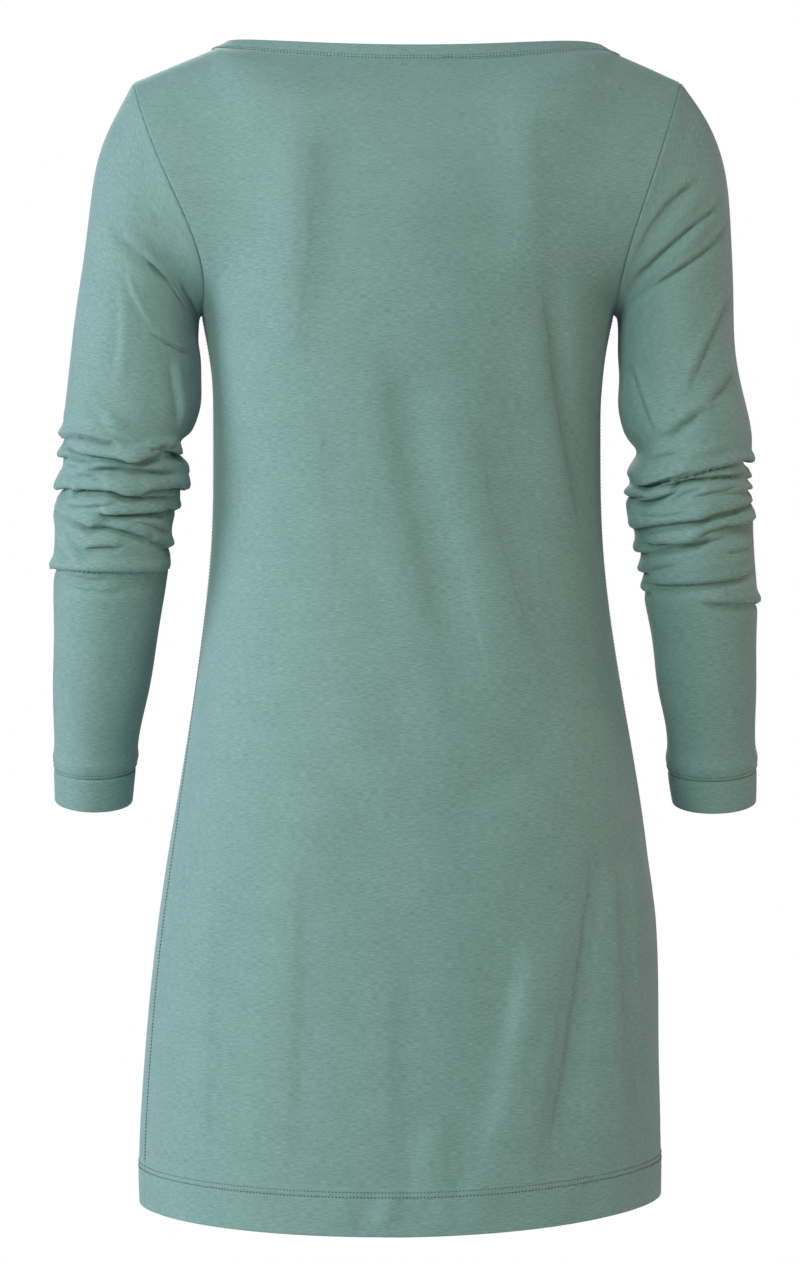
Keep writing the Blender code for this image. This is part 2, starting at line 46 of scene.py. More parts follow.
# %% [markdown]
# The dress is drawn with the tables of its solids. Only the neck's right corner and the turn of the left
# side seam differ a little, to follow the picture more closely. All lengths are in millimetres, and a drop
# is the distance below the shoulders. Scanned or sculpted cloth would carry no sizes, while tables keep each
# curve of the pattern in a few numbers that a maker can read.

# %% Sizes of the pattern
ARMPIT_DROP = 200.0
HEM_SEAM_DROP = 831.5
HEM_DROP = 860.5
HEM_SAG_AT_BACK = 9.0
HEM_RISE_AT_RIGHT = 6.5
NECK_HALF_WIDTH = 149.5
NECK_SHIFT = 9.5
NECK_SIDE_DROP = 3.0
NECK_DROP_MORE_AT_RIGHT = 4.5
NECK_REACH = {"back": 57.0, "front": 86.0}
NECK_DROP = {"back": 16.5, "front": 46.0}
NECK_BAND_WIDTH = 11.5
NECK_BAND_LEAN = {"back": 30.0, "front": 34.0}
NECK_BAND_LEAN_AT_SIDE = 62.0
LEFT_SEAM_TURN_DROPS = (300.0, 660.0)
RIGHT_SEAM_TURN_DROPS = (430.0, 860.5)
LEFT_SEAM_TURN = 15.0
RIGHT_SEAM_TURN = 14.0
NECK_SHARE = 8 / 12
CUFF_SEAM_ALONG = 452.0
CUFF_END_ALONG = 479.0
print("shoulder to hem:", HEM_DROP, "mm, and cuff:", CUFF_END_ALONG - CUFF_SEAM_ALONG, "mm")

# %% [markdown]
# A worn dress is narrow at the waist and wider at the hem, and it is deeper behind than in front or the
# other way round from row to row. So each row of this table has its own half widths and half depths, and
# how square its oval is. One oval that is scaled would be simpler, but it would lose that.

# %% Sections of the body
BODY_COLUMNS = ("drop", "left", "right", "back", "front", "square")
BODY_SECTIONS = (
    (200, 150.0, 157.0, 103, 119, 2.25),
    (240, 143.0, 149.0, 100, 120, 2.30),
    (296, 141.0, 146.8, 95, 114, 2.30),
    (363, 141.9, 148.0, 94, 104, 2.30),
    (441, 149.4, 156.0, 103, 102, 2.30),
    (553, 166.3, 174.6, 118, 106, 2.30),
    (664, 183.6, 187.0, 123, 113, 2.30),
    (776, 193.6, 189.0, 126, 120, 2.25),
    (831, 196.0, 191.5, 128, 123, 2.20),
    (871, 194.5, 191.5, 129, 124, 2.20),
)
CENTRE_COLUMNS = ("drop", "reach")
CENTRES = {
    "back": ((16, 57), (40, 77), (70, 92), (110, 103), (155, 105), (200, 103), (240, 100)),
    "front": ((46, 86), (70, 95), (110, 106), (155, 114), (200, 119), (240, 120)),
}
hem = dict(zip(BODY_COLUMNS, BODY_SECTIONS[-1]))
print("at the hem:", hem["left"] + hem["right"], "mm wide and", hem["back"] + hem["front"], "mm deep")
print("middle of the back, lowest row:", dict(zip(CENTRE_COLUMNS, CENTRES["back"][-1])))

# %% [markdown]
# The sleeves are set in: each meets the body at an armhole, an egg-shaped ring that stands on its broad
# end. From there a sleeve is a run of rings, given by the outer and the inner end of each, its middle, its
# half depth and how it leans. Ends are read off a picture more easily than centres and radii.

# %% Armholes and rings of the sleeves
ARMHOLES = {
    "left": {"tip": (200.5, 28.0), "pit": (150.0, 200.0), "bow": (14.0, 16.0)},
    "right": {"tip": (206.5, 28.0), "pit": (157.0, 200.0), "bow": (4.5, 14.0)},
}
ARMHOLE_REACH = (72.0, 64.0)
ARMHOLE_EGG = 0.12
SLEEVE_COLUMNS = ("along", "outer", "outer_drop", "inner", "inner_drop", "centre_y", "half_depth", "lean")
SLEEVE_RINGS = {
    "left": (
        (0, 200.5, 28, 150.0, 200, -4, 68.0, 0),
        (20, 214.1, 54, 151.2, 203, -4, 63.0, 0),
        (40, 225.1, 81, 151.8, 207, -4, 59.5, 0),
        (65, 231.6, 117, 152.0, 213, -5, 56.5, 0),
        (95, 236.6, 158, 151.8, 222, -6, 54.0, 0),
        (125, 242.6, 199, 150.0, 234, -7, 52.0, 0),
        (155, 247.1, 240, 149.4, 253, -9, 51.0, 0),
        (180, 249.6, 266, 150.6, 272, -12, 50.0, 0),
        (205, 252.1, 292, 157.6, 294, -15, 49.0, 0),
        (235, 254.6, 322, 162.1, 323, -17, 47.5, 1),
        (265, 257.1, 352, 169.1, 352, -16, 45.5, 4),
        (295, 259.1, 381, 173.1, 381, -11, 43.5, 9),
        (325, 260.1, 411, 178.1, 411, -4, 41.0, 13),
        (355, 260.6, 441, 183.6, 441, 4, 38.5, 15),
        (392, 262.6, 479, 190.1, 479, 15, 35.5, 16),
        (430, 262.4, 517, 198.6, 517, 26, 32.5, 16),
        (452, 262.6, 539, 201.1, 539, 32, 31.0, 16),
        (479, 262.6, 563, 204.1, 565, 40, 30.0, 16),
    ),
    "right": (
        (0, 206.5, 28, 157.0, 200, -4, 68.0, 0),
        (20, 224.5, 54, 158.9, 203, -4, 63.0, 0),
        (40, 235.5, 79, 159.5, 207, -4, 59.5, 0),
        (65, 241.5, 108, 159.8, 213, -5, 56.5, 0),
        (95, 244.0, 145, 160.0, 222, -6, 54.0, 0),
        (125, 245.5, 188, 160.3, 235, -7, 52.0, 0),
        (155, 247.5, 234, 160.8, 252, -9, 51.0, 0),
        (180, 255.0, 270, 160.3, 272, -12, 50.0, 0),
        (205, 259.0, 295, 165.0, 295, -15, 49.0, 0),
        (235, 257.0, 323, 165.5, 323, -17, 47.5, 1),
        (265, 259.0, 352, 167.5, 352, -16, 45.5, 4),
        (295, 261.0, 381, 176.0, 381, -11, 43.5, 9),
        (325, 263.5, 411, 180.0, 411, -4, 41.0, 13),
        (355, 263.5, 441, 186.0, 441, 4, 38.5, 15),
        (392, 264.3, 479, 191.3, 479, 15, 35.5, 16),
        (430, 264.3, 517, 199.0, 517, 26, 32.5, 16),
        (452, 266.0, 539, 199.5, 541, 32, 31.0, 16),
        (479, 266.5, 564, 203.5, 566, 40, 30.0, 16),
    ),
}
wrist = dict(zip(SLEEVE_COLUMNS, SLEEVE_RINGS["left"][-1]))
print("left wrist:", wrist["outer"] - wrist["inner"], "mm wide and", 2 * wrist["half_depth"], "mm deep")

# %% [markdown]
# A natural cubic spline turns each table into a smooth curve. Polylines would leave a faint ring at every
# row of the table, which soft light on plain cloth shows at once.

# %% Smooth curves through the tables
def spline_through(keys, values):
    """A natural cubic spline through values at rising keys, whatever shape each value has."""
    keys = np.array(keys, float)
    values = np.array(values, float)
    steps = np.diff(keys)
    matrix = np.eye(len(keys))
    right = np.zeros_like(values)
    for i in range(1, len(keys) - 1):
        matrix[i, i - 1 : i + 2] = steps[i - 1], 2 * (steps[i - 1] + steps[i]), steps[i]
        rise = (values[i + 1] - values[i]) / steps[i] - (values[i] - values[i - 1]) / steps[i - 1]
        right[i] = 6 * rise
    bend = np.linalg.solve(matrix, right.reshape(len(keys), -1)).reshape(values.shape)

    def at(key):
        key = np.clip(np.atleast_1d(np.asarray(key, float)), keys[0], keys[-1])
        i = np.clip(np.searchsorted(keys, key, side="right") - 1, 0, len(steps) - 1)
        wide = (len(key),) + (1,) * (values.ndim - 1)
        h = steps[i].reshape(wide)
        a = (keys[i + 1] - key).reshape(wide) / h
        b = 1 - a
        line = a * values[i] + b * values[i + 1]
        return line + ((a**3 - a) * bend[i] + (b**3 - b) * bend[i + 1]) * h**2 / 6

    return at


def table_curve(rows):
    """A spline through a table whose first column is the key."""
    return spline_through([row[0] for row in rows], [row[1:] for row in rows])


def smooth_step(x):
    x = np.clip(x, 0.0, 1.0)
    return x * x * (3 - 2 * x)


def unit(vectors):
    return vectors / np.maximum(np.linalg.norm(vectors, axis=-1, keepdims=True), 1e-9)


body_at = table_curve(BODY_SECTIONS)
centre_at = {face: table_curve(rows) for face, rows in CENTRES.items()}
sleeve_at = {side: table_curve(rows) for side, rows in SLEEVE_RINGS.items()}
print("half width on the left at the waist:", round(float(body_at(363)[0, 0]), 1), "mm")

# %% [markdown]
# Below the armpits a section of the dress is a soft, slightly square oval. It could be drawn as a circle
# that is scaled, but a worn dress is flatter behind than at its sides. The hem sags behind and rises a
# little on the right.

# %% The body below the armpits
def body_section(angle, drop):
    """Points below the armpits. The angle is 0 at the middle of the back and 90 at the right side."""
    left, right, back, front, square = body_at(drop).T
    s, c = np.sin(np.radians(angle)), np.cos(np.radians(angle))
    half = np.where(s > 0, right, left)
    reach = np.where(c > 0, back, front)
    x = half * np.sign(s) * np.abs(s) ** (2 / square)
    y = -reach * np.sign(c) * np.abs(c) ** (2 / square)
    sag = HEM_SAG_AT_BACK * np.clip(c, 0, 1) ** 1.6 - HEM_RISE_AT_RIGHT * np.clip(s, 0, 1) ** 1.2
    sag = sag * smooth_step((drop - ARMPIT_DROP) / (HEM_DROP - ARMPIT_DROP))
    return np.stack([x, y, -(drop + sag)], axis=-1)


print("lowest point behind:", np.round(body_section(np.zeros(1), np.full(1, HEM_DROP))[0], 1))

# %% [markdown]
# The armholes and the neck are the edges that the upper part hangs between. Each is one formula, so that
# panels, sleeves and neck band read the same edge and meet exactly, as pieces that are sewn together do.

# %% The armholes, the neck and the shoulders
def armhole_point(side, angle):
    """The armhole seam. The angle is 0 at the shoulder, 90 behind, 180 under the arm and 270 in front."""
    hole = ARMHOLES[side]
    s, c = np.sin(np.radians(angle)), np.cos(np.radians(angle))
    tip, pit = hole["tip"], hole["pit"]
    bow = np.where(s > 0, hole["bow"][0], hole["bow"][1])
    reach = np.where(s > 0, ARMHOLE_REACH[0], ARMHOLE_REACH[1])
    x = (tip[0] + pit[0]) / 2 + (tip[0] - pit[0]) / 2 * c - bow * np.abs(s) ** 1.8 * (1 - c) ** 2 / 2
    y = -reach * s * (1 - ARMHOLE_EGG * c)
    z = -(tip[1] + pit[1]) / 2 + (pit[1] - tip[1]) / 2 * c
    return np.stack([x * (-1 if side == "left" else 1), y, z], axis=-1)


def neck_seam(turn, face):
    """The neck seam. The turn is 0 at the middle of the face and 90 at the right shoulder."""
    s, c = np.sin(np.radians(turn)), np.cos(np.radians(turn))
    y = NECK_REACH[face] * c * (-1 if face == "back" else 1)
    side_drop = NECK_SIDE_DROP + NECK_DROP_MORE_AT_RIGHT * np.clip(s, 0, 1) ** 6
    z = -side_drop - (NECK_DROP[face] - side_drop) * c * c
    return np.stack([NECK_SHIFT + NECK_HALF_WIDTH * s, y, z], axis=-1)


def armhole_edge(u, angle):
    """The armhole point on the side that each u lies on."""
    return np.where((u < 0)[:, None], armhole_point("left", angle), armhole_point("right", angle))


def top_edge(u, face):
    """The upper edge of a panel: the neck seam, then the shoulder seam out to the armhole."""
    neck = neck_seam(np.clip(90 * u / NECK_SHARE, -90, 90), face)
    share = np.clip((np.abs(u) - NECK_SHARE) / (1 - NECK_SHARE), 0, 1)[:, None]
    return neck + (armhole_edge(u, np.zeros_like(u)) - neck) * share


shoulder_width = armhole_point("right", 0.0)[0] - armhole_point("left", 0.0)[0]
print("shoulder to shoulder:", round(float(shoulder_width)), "mm")

# %% [markdown]
# Above the armpits the two panels part, and each row bends from one armhole to the other over the back or
# the chest. Straight rows between the edges would cave in, so each row is an arc that is pulled to the
# upper edge as it rises. The corners of that edge are blurred, or they would run down the cloth as ridges.

# %% The body above the armpits
BLUR_STEPS = np.linspace(-2, 2, 9)


def blurred(values_at, u, reach):
    """A curve over u with its corners rounded over a reach, which fades out towards the armholes."""
    reach = reach * smooth_step((1 - np.abs(u)) / 0.25)
    weights = np.exp(-(BLUR_STEPS**2) / 2)
    total = sum(w * values_at(np.clip(u + step * reach, -1, 1)) for w, step in zip(weights, BLUR_STEPS))
    return total / weights.sum()


def yoke_row(u, v, face):
    """One row of a panel above the armpits, from v = 0 at the armpits to v = 1 at its upper edge."""
    square = 2 / BODY_SECTIONS[0][5]

    def arc(u, v):
        angle = 180 * (1 - v)
        edge = armhole_edge(u, np.full_like(u, angle if face == "back" else 360 - angle))
        drop = ARMPIT_DROP + (NECK_DROP[face] - ARMPIT_DROP) * v
        centre = centre_at[face](drop)[0, 0] * (-1 if face == "back" else 1)
        wrap = np.radians(90 - 42 * smooth_step(v / 0.4))
        power = square + (1 - square) * smooth_step(v / 0.4)
        across = (np.sin(np.abs(u) * wrap) / np.sin(wrap)) ** power
        low = max(np.cos(wrap), 0.0) ** power
        deep = (np.maximum(np.cos(u * wrap), 0.0) ** power - low) / (1 - low)
        return np.stack([edge[:, 0] * across, edge[:, 1] + (centre - edge[:, 1]) * deep], axis=-1)

    corner = 0.16 * (1 - v) ** 0.7
    pull = blurred(lambda place: top_edge(place, face)[:, :2] - arc(place, 1.0), u, corner)
    flat = arc(u, v) + pull * v**1.9
    ease = (1 - np.cos(np.pi * v)) / 2
    rise = v + (ease - v) * smooth_step(np.abs(u) / NECK_SHARE)
    top = blurred(lambda place: top_edge(place, face)[:, 2], u, corner)
    height = -ARMPIT_DROP + (top + ARMPIT_DROP) * rise
    return np.concatenate([flat, height[:, None]], axis=-1)


print("middle of the chest:", np.round(yoke_row(np.zeros(1), 0.5, "front")[0]))

# %% [markdown]
# A side seam seldom hangs straight. Here the left one swings towards the back and the right one towards the
# front, as on a dress whose jersey has twisted in the wash. The seam turns round the section as it goes
# down, so the outline stays as it is.

# %% Where the side seams run
def seam_angles(drop):
    """Where the left and the right side seam lie at a drop, as angles of a section."""
    left, right = (
        smooth_step((drop - start) / (end - start))
        for start, end in (LEFT_SEAM_TURN_DROPS, RIGHT_SEAM_TURN_DROPS)
    )
    return -90 + LEFT_SEAM_TURN * left, 90 + RIGHT_SEAM_TURN * right


def even_out(points, across, middle, rounds=6, reach=4):
    """Evens out the rows round the armpits, where yoke and body meet, and leaves the seams as they are."""
    weight = smooth_step((1 - np.abs(across)) / 0.3)[:, None]
    for _ in range(rounds):
        for row in range(middle - reach, middle + reach + 1):
            mean = (points[row - 1] + points[row + 1]) / 2
            points[row] += (mean - points[row]) * 0.5 * (1 - abs(row - middle) / (reach + 1)) * weight
    return points


print("side seams at the hem, as angles:", [round(float(angle)) for angle in seam_angles(HEM_DROP)])

# %% [markdown]
# The rows of the solids are far apart, so each column of them gets a spline of its own, and the fine rows
# of the cloth are read from it. Rows stand close together at the hem and along the seams, where the cloth
# is turned, and columns where the narrow folds run. Elsewhere both are further apart.

# %% Rows and columns of a panel
SOLID_HEM_DROPS = (HEM_DROP, 846.0, HEM_SEAM_DROP + 1)
SOLID_DROPS = np.concatenate([SOLID_HEM_DROPS, np.linspace(HEM_SEAM_DROP, ARMPIT_DROP, 19)])
YOKE_STEPS = 12
HEM_ROWS = (
    *(0.9, 1.6, 3, 5.5, 9, 13, 17, 20.5, 23.5, 25.5),
    *(26.8, 27.6, 28.4, 29.3, 30.3, 31.1, 31.9, 32.7, 33.8, 35.5, 38),
)
HEM_SIDE = (0.0025, 0.0055, 0.0092)
BODY_ROWS = 130
YOKE_ROWS = 60


def panel_columns():
    """Places across a panel, from -1 at the left seam to 1 at the right one."""
    wide, close = np.linspace(-1, 0.08, 88), np.linspace(0.08, 0.62, 88)
    plain = np.concatenate([wide, close, np.linspace(0.62, 1, 32)])
    edge = np.array([1 - d for d in HEM_SIDE])
    neck = np.array([NECK_SHARE - 0.004, NECK_SHARE + 0.004])
    return np.unique(np.round(np.concatenate([plain, edge, -edge, neck, -neck]), 6))


def panel_surface(face, u):
    """The smooth surface of a panel at fine rows, hem first, and how far up the panel each row lies."""
    rows = []
    for drop in SOLID_DROPS:
        left, right = seam_angles(drop)
        if face == "front":
            right = right - 360
        rows.append(body_section(left + (right - left) * (u + 1) / 2, np.full_like(u, drop)))
    rows += [yoke_row(u, step / YOKE_STEPS, face) for step in range(1, YOKE_STEPS + 1)]
    solid = even_out(np.array(rows), u, len(SOLID_DROPS) - 1)
    steps = np.linalg.norm(np.diff(solid, axis=0), axis=-1).mean(axis=1)
    keys = np.concatenate([[0], np.cumsum(steps)])
    armpit = keys[len(SOLID_DROPS) - 1]
    body = np.linspace(HEM_ROWS[-1], armpit, BODY_ROWS + 1)[1:-1]
    yoke_v = np.concatenate([np.arange(0, YOKE_ROWS) / YOKE_ROWS, [1 - 0.0075, 1 - 0.0035, 1.0]])
    yoke = np.interp(yoke_v * YOKE_STEPS, np.arange(YOKE_STEPS + 1), keys[len(SOLID_DROPS) - 1 :])
    fine = np.concatenate([HEM_ROWS, body, yoke])
    return spline_through(keys, solid)(fine), fine, armpit, yoke_v


columns = panel_columns()
base = {}
for face in ("back", "front"):
    base[face], row_key, armpit_key, yoke_places = panel_surface(face, columns)
    print(face, "panel:", base[face].shape[0], "rows of", base[face].shape[1], "places")


# %% [markdown]
# A sleeve is a run of leaning ovals. Its first rows bend over to the armhole, as a sleeve cap does. Where
# the jersey is bunched at the elbow the rows are only 1 mm apart, so that a narrow crease keeps its shape.

# %% The sleeves' surface
CAP_FADE = 60.0


def sleeve_oval(side, angle, rings):
    """Points on leaning ovals, one ring of numbers for each angle, with no cap."""
    outer, outer_drop, inner, inner_drop, centre_y, half_depth, lean = rings.T
    s, c = np.sin(np.radians(angle)), np.cos(np.radians(angle))
    x = (outer + inner) / 2 + (outer - inner) / 2 * c
    z = -(outer_drop + inner_drop) / 2 - (outer_drop - inner_drop) / 2 * c
    y = centre_y - half_depth * np.cos(np.radians(lean)) * s
    z = z - half_depth * np.sin(np.radians(lean)) * s
    return np.stack([x * (-1 if side == "left" else 1), y, z], axis=-1)


def sleeve_point(side, angle, along):
    """Points of a sleeve. The angle is 0 outside, 90 behind, 180 towards the body and 270 in front."""
    turn, row = angle.ravel(), along.ravel()
    oval = sleeve_oval(side, turn, sleeve_at[side](row))
    first = sleeve_oval(side, turn, sleeve_at[side](np.zeros_like(turn)))
    reach = CAP_FADE * (0.35 + 0.65 * (1 + np.cos(np.radians(turn))) / 2)
    fade = (1 - smooth_step(row / reach))[:, None]
    points = oval + (armhole_point(side, turn) - first) * fade
    return points.reshape(angle.shape + (3,))


left_elbow = sleeve_point("left", np.zeros((1, 1)), np.full((1, 1), 235.0))[0, 0]
print("left elbow, on the outside:", np.round(left_elbow))

# %% [markdown]
# The rows and columns of a sleeve's grid could be even, but then either the creases would be coarse or the
# plain forearm would carry far too many faces. So each stretch of the sleeve has a spacing of its own, and
# the places next to the underarm seam and the two sewn ends stand closest together.

# %% Rows and columns of a sleeve
UNDERARM_ANGLE = 190.0
UNDERARM_PLACES = (0, 0.8, 1.8)
ARMHOLE_ROWS = (0, 0.6, 1.4, 2.4, 4.0, 6.5)
CUFF_SEAM_ROWS = (448.2, 449.4, 450.4, 451.3, 452)
# Start, end and spacing of each stretch of rows
STRETCHES = (
    (8.5, 90, 1.9),
    (91, 196, 2.4),
    (197.6, 312, 0.95),
    (312.5, 336, 1.4),
    (337, 430, 4.2),
    (431, 447.5, 1.8),
)
last_places = [360 - place for place in UNDERARM_PLACES[::-1]]
sleeve_angles = np.concatenate([UNDERARM_PLACES, np.arange(2.5, 360, 2.5), last_places])
sleeve_angles = sleeve_angles + (UNDERARM_ANGLE - 360)
stretches = [np.arange(*stretch) for stretch in STRETCHES]
sleeve_rows = np.concatenate([ARMHOLE_ROWS, *stretches, CUFF_SEAM_ROWS])
for side in ("left", "right"):
    angle, along = np.meshgrid(sleeve_angles, sleeve_rows)
    base[side] = sleeve_point(side, angle, along)
print("sleeve:", len(sleeve_rows), "rows of", len(sleeve_angles), "places")


# %% [markdown]
# Every fold and every seam moves the cloth in or out along its own normal. The normal of a grid comes from
# the two directions in which its rows and columns run, so one small function serves all the pieces. Each
# grid is kept with its columns in the order that makes this normal face out of the garment.

# %% Normals and distances on a grid
def grid_normals(points):
    """Unit normals, from the way that the columns run crossed with the way that the rows run."""
    return unit(np.cross(np.gradient(points, axis=1), np.gradient(points, axis=0)))


def run_lengths(points, axis):
    """Distance of each point from the first one, along the rows or the columns."""
    steps = np.linalg.norm(np.diff(points, axis=axis), axis=-1)
    start = np.zeros_like(np.take(steps, [0], axis=axis))
    return np.concatenate([start, np.cumsum(steps, axis=axis)], axis=axis)


hem_girth = sum(run_lengths(base[face][:1], 1)[0, -1] for face in ("back", "front"))
print("girth at the hem:", round(float(hem_girth)), "mm, in two panels")
across = {"back": columns, "front": columns[::-1], "left": sleeve_angles[::-1], "right": sleeve_angles}
base["front"] = base["front"][:, ::-1]
base["left"] = base["left"][:, ::-1]
for name, points in base.items():
    middle = points * (0, 0, 1) if name in ("back", "front") else points.mean(axis=1, keepdims=True)
    outward = np.sum(grid_normals(points) * (points - middle), axis=-1)
    print(name, "faces out on", round(100 * float(np.mean(outward > 0))), "% of its points")

# %% [markdown]
# The soft folds of the body are long and shallow: the light shows them more than the outline does. On the
# back, which shows, each row is a band of cloth that leans to the left (plus) or to the right (minus) by
# some degrees, because the lean is what the side light makes visible. Two bands side by side make a trough
# or a ridge. The table gives three places on each band's line.

# %% Folds of the back
BAND_COLUMNS = ("x_1", "drop_1", "x_2", "drop_2", "x_3", "drop_3", "lean", "width")
BACK_BANDS = (
    (-62, 60, -66, 140, -78, 250, -15, 15),
    (-84, 90, -90, 170, -98, 262, 9, 16),
    (-85, 35, -93, 103, -102, 170, 6, 18),
    (74, 25, 82, 118, 76, 197, 8, 15),
    (76, 197, 93, 283, 103, 415, 7, 13),
    (96, 49, 100, 125, 103, 190, -8, 8),
    (101, 170, 111, 268, 134, 384, -24, 6),
    (116, 165, 120, 217, 126, 290, 15, 6),
    (-17, 222, 0, 328, 34, 475, -14, 11),
    (6, 240, 32, 345, 72, 512, 9, 13),
    (-21, 356, -11, 407, -2, 465, 5, 10),
    (52, 262, 69, 364, 108, 480, -13, 9),
    (-61, 262, -59, 298, -40, 451, -4, 8),
    (-56, 465, -52, 498, -48, 529, 3, 10),
    (-25, 472, -19, 497, -16, 529, -3, 12),
    (16, 458, 13, 490, 7, 529, 3, 10),
    (31, 443, 32, 472, 33, 505, -3, 9),
    (122, 470, 92, 540, 30, 570, 9, 14),
    (106, 486, 74, 531, 19, 542, -5, 11),
    (-22, 558, -42, 582, -67, 602, -6, 16),
    (138, 566, 124, 695, 99, 835, -24, 9),
    (118, 640, 108, 735, 92, 850, -14, 8),
    (147, 588, 138, 703, 123, 850, 15, 16),
    (88, 648, 77, 729, 49, 844, 16, 9),
    (84, 673, 78, 712, 74, 734, 12, 4),
    (103, 691, 97, 723, 90, 746, -9, 4),
    (104, 717, 98, 737, 92, 763, 8, 4),
    (0, 665, -5, 743, 0, 854, -8, 5),
    (14, 786, 11, 818, 7, 854, 10, 6),
    (31, 779, 34, 815, 32, 839, -8, 6),
    (51, 815, 46, 840, 44, 861, 10, 5),
    (-9, 836, -17, 849, -29, 866, 14, 5),
    (0, 832, -5, 850, -11, 866, -12, 4),
    (25, 839, 23, 852, 23, 865, 10, 4),
    (-76, 594, -75, 701, -83, 855, -9, 5),
    (-108, 590, -110, 720, -115, 850, 5, 6),
    (-86, 530, -91, 630, -97, 745, 4, 9),
    (-138, 600, -138, 740, -143, 845, -8, 5),
    (115, 821, 114, 845, 113, 861, 9, 4),
    (142, 823, 143, 845, 144, 861, 9, 4),
    (129, 822, 129, 843, 129, 860, -7, 4),
    (157, 582, 158, 705, 170, 847, -21, 4),
    (165, 532, 168, 677, 178, 816, 18, 4),
    (-42, 844, -36, 854, -38, 866, -7, 6),
    (69, 836, 67, 851, 67, 864, -7, 6),
    (-127, 158, -122, 231, -119, 319, 7, 9),
)
print("bands of the back:", len(BACK_BANDS))

# %% [markdown]
# The front isn't seen in the picture, so it gets a few plain troughs and ridges of the same kind and size.
# Leaving it smooth would make it look like another cloth.

# %% Folds of the front
FRONT_FOLD_COLUMNS = ("x_1", "drop_1", "x_2", "drop_2", "height", "width")
FRONT_FOLDS = (
    (-62, 110, -42, 250, -3.0, 15),
    (58, 105, 40, 245, -3.0, 15),
    (-104, 300, -62, 480, -3.2, 16),
    (96, 285, 58, 460, -3.0, 16),
    (10, 330, -12, 520, 2.2, 17),
    (-18, 520, -48, 900, -4.0, 17),
    (72, 560, 88, 900, -4.0, 17),
    (14, 600, 22, 850, 3.0, 16),
    (-132, 540, -124, 900, -3.6, 15),
    (142, 590, 134, 850, 2.8, 15),
    (-70, 790, -73, 880, -0.9, 7),
    (30, 780, 33, 880, 0.8, 7),
    (110, 785, 107, 880, -0.9, 7),
)


print("folds of the front:", len(FRONT_FOLDS))

# %% [markdown]
# Every fold follows a short line or curve. One helper finds the places near such a line, how far to which
# side of it they are, and how far along it. Folds then start and end softly, and far places cost no time.

# %% How the folds of the body move the cloth
def nearness(places, bends, way, reach):
    """Which places are near a fold's line, their signed distance from it, and how far along it they are."""
    t = np.linspace(0, 1, 41)[:, None]
    if len(bends) == 2:
        line = bends[0] + (bends[1] - bends[0]) * t
    else:
        line = bends[0] * (1 - t) * (1 - 2 * t) + bends[1] * 4 * t * (1 - t) + bends[2] * t * (2 * t - 1)
    low, high = line.min(axis=0) - reach, line.max(axis=0) + reach
    near = np.all((places > low) & (places < high), axis=-1)
    apart = places[near][:, None, :] - line
    distance = np.linalg.norm(apart, axis=-1)
    nearest = np.argmin(distance, axis=-1)
    run = np.gradient(line, axis=0)
    aside = np.stack([run[:, 1], -run[:, 0]], axis=-1)
    aside = aside * np.sign(aside[:, way].sum() or 1)
    side = np.sum(apart[np.arange(len(nearest)), nearest] * aside[nearest], axis=-1)
    return near, np.sign(side) * distance.min(axis=-1), t[nearest, 0]


def back_band_height(points):
    """Height of the back's bands. Each one is a small step across its line, which runs out on both sides."""
    height = np.zeros(points.shape[:2])
    places = np.stack([points[..., 0], -points[..., 2]], axis=-1)
    for row in BACK_BANDS:
        band = dict(zip(BAND_COLUMNS, row))
        bends = np.array([[band[f"x_{i}"], band[f"drop_{i}"]] for i in (1, 2, 3)], float)
        near, distance, at = nearness(places, bends, 0, 10 * band["width"])
        d = distance / band["width"]
        strength = smooth_step(at / 0.28) * smooth_step((1 - at) / 0.28) * np.exp(-((d / 4) ** 2))
        height[near] += np.tan(np.radians(band["lean"])) * band["width"] * 0.85 * np.tanh(1.1 * d) * strength
    return height


def front_fold_height(points, taper=0.3):
    """Height of the front's troughs and ridges."""
    height = np.zeros(points.shape[:2])
    places = np.stack([points[..., 0], -points[..., 2]], axis=-1)
    for row in FRONT_FOLDS:
        fold = dict(zip(FRONT_FOLD_COLUMNS, row))
        ends = np.array([[fold["x_1"], fold["drop_1"]], [fold["x_2"], fold["drop_2"]]], float)
        near, distance, at = nearness(places, ends, 0, 4 * fold["width"])
        strength = smooth_step(at / taper) * smooth_step((1 - at) / taper)
        height[near] += fold["height"] * strength * np.exp(-((distance / fold["width"]) ** 2))
    return height


leans = [abs(row[BAND_COLUMNS.index("lean")]) for row in BACK_BANDS]
print("steepest band of the back:", max(leans), "degrees")

# %% [markdown]
# At the elbows the sleeves are too long for the arm, so the jersey stacks up in folds. A cloth simulation
# would place them by chance. Here each one is a row of a table: three places on the sleeve, as an angle
# round it and a distance down it, then how deep and how wide it is. These wide ones are in the solids too.

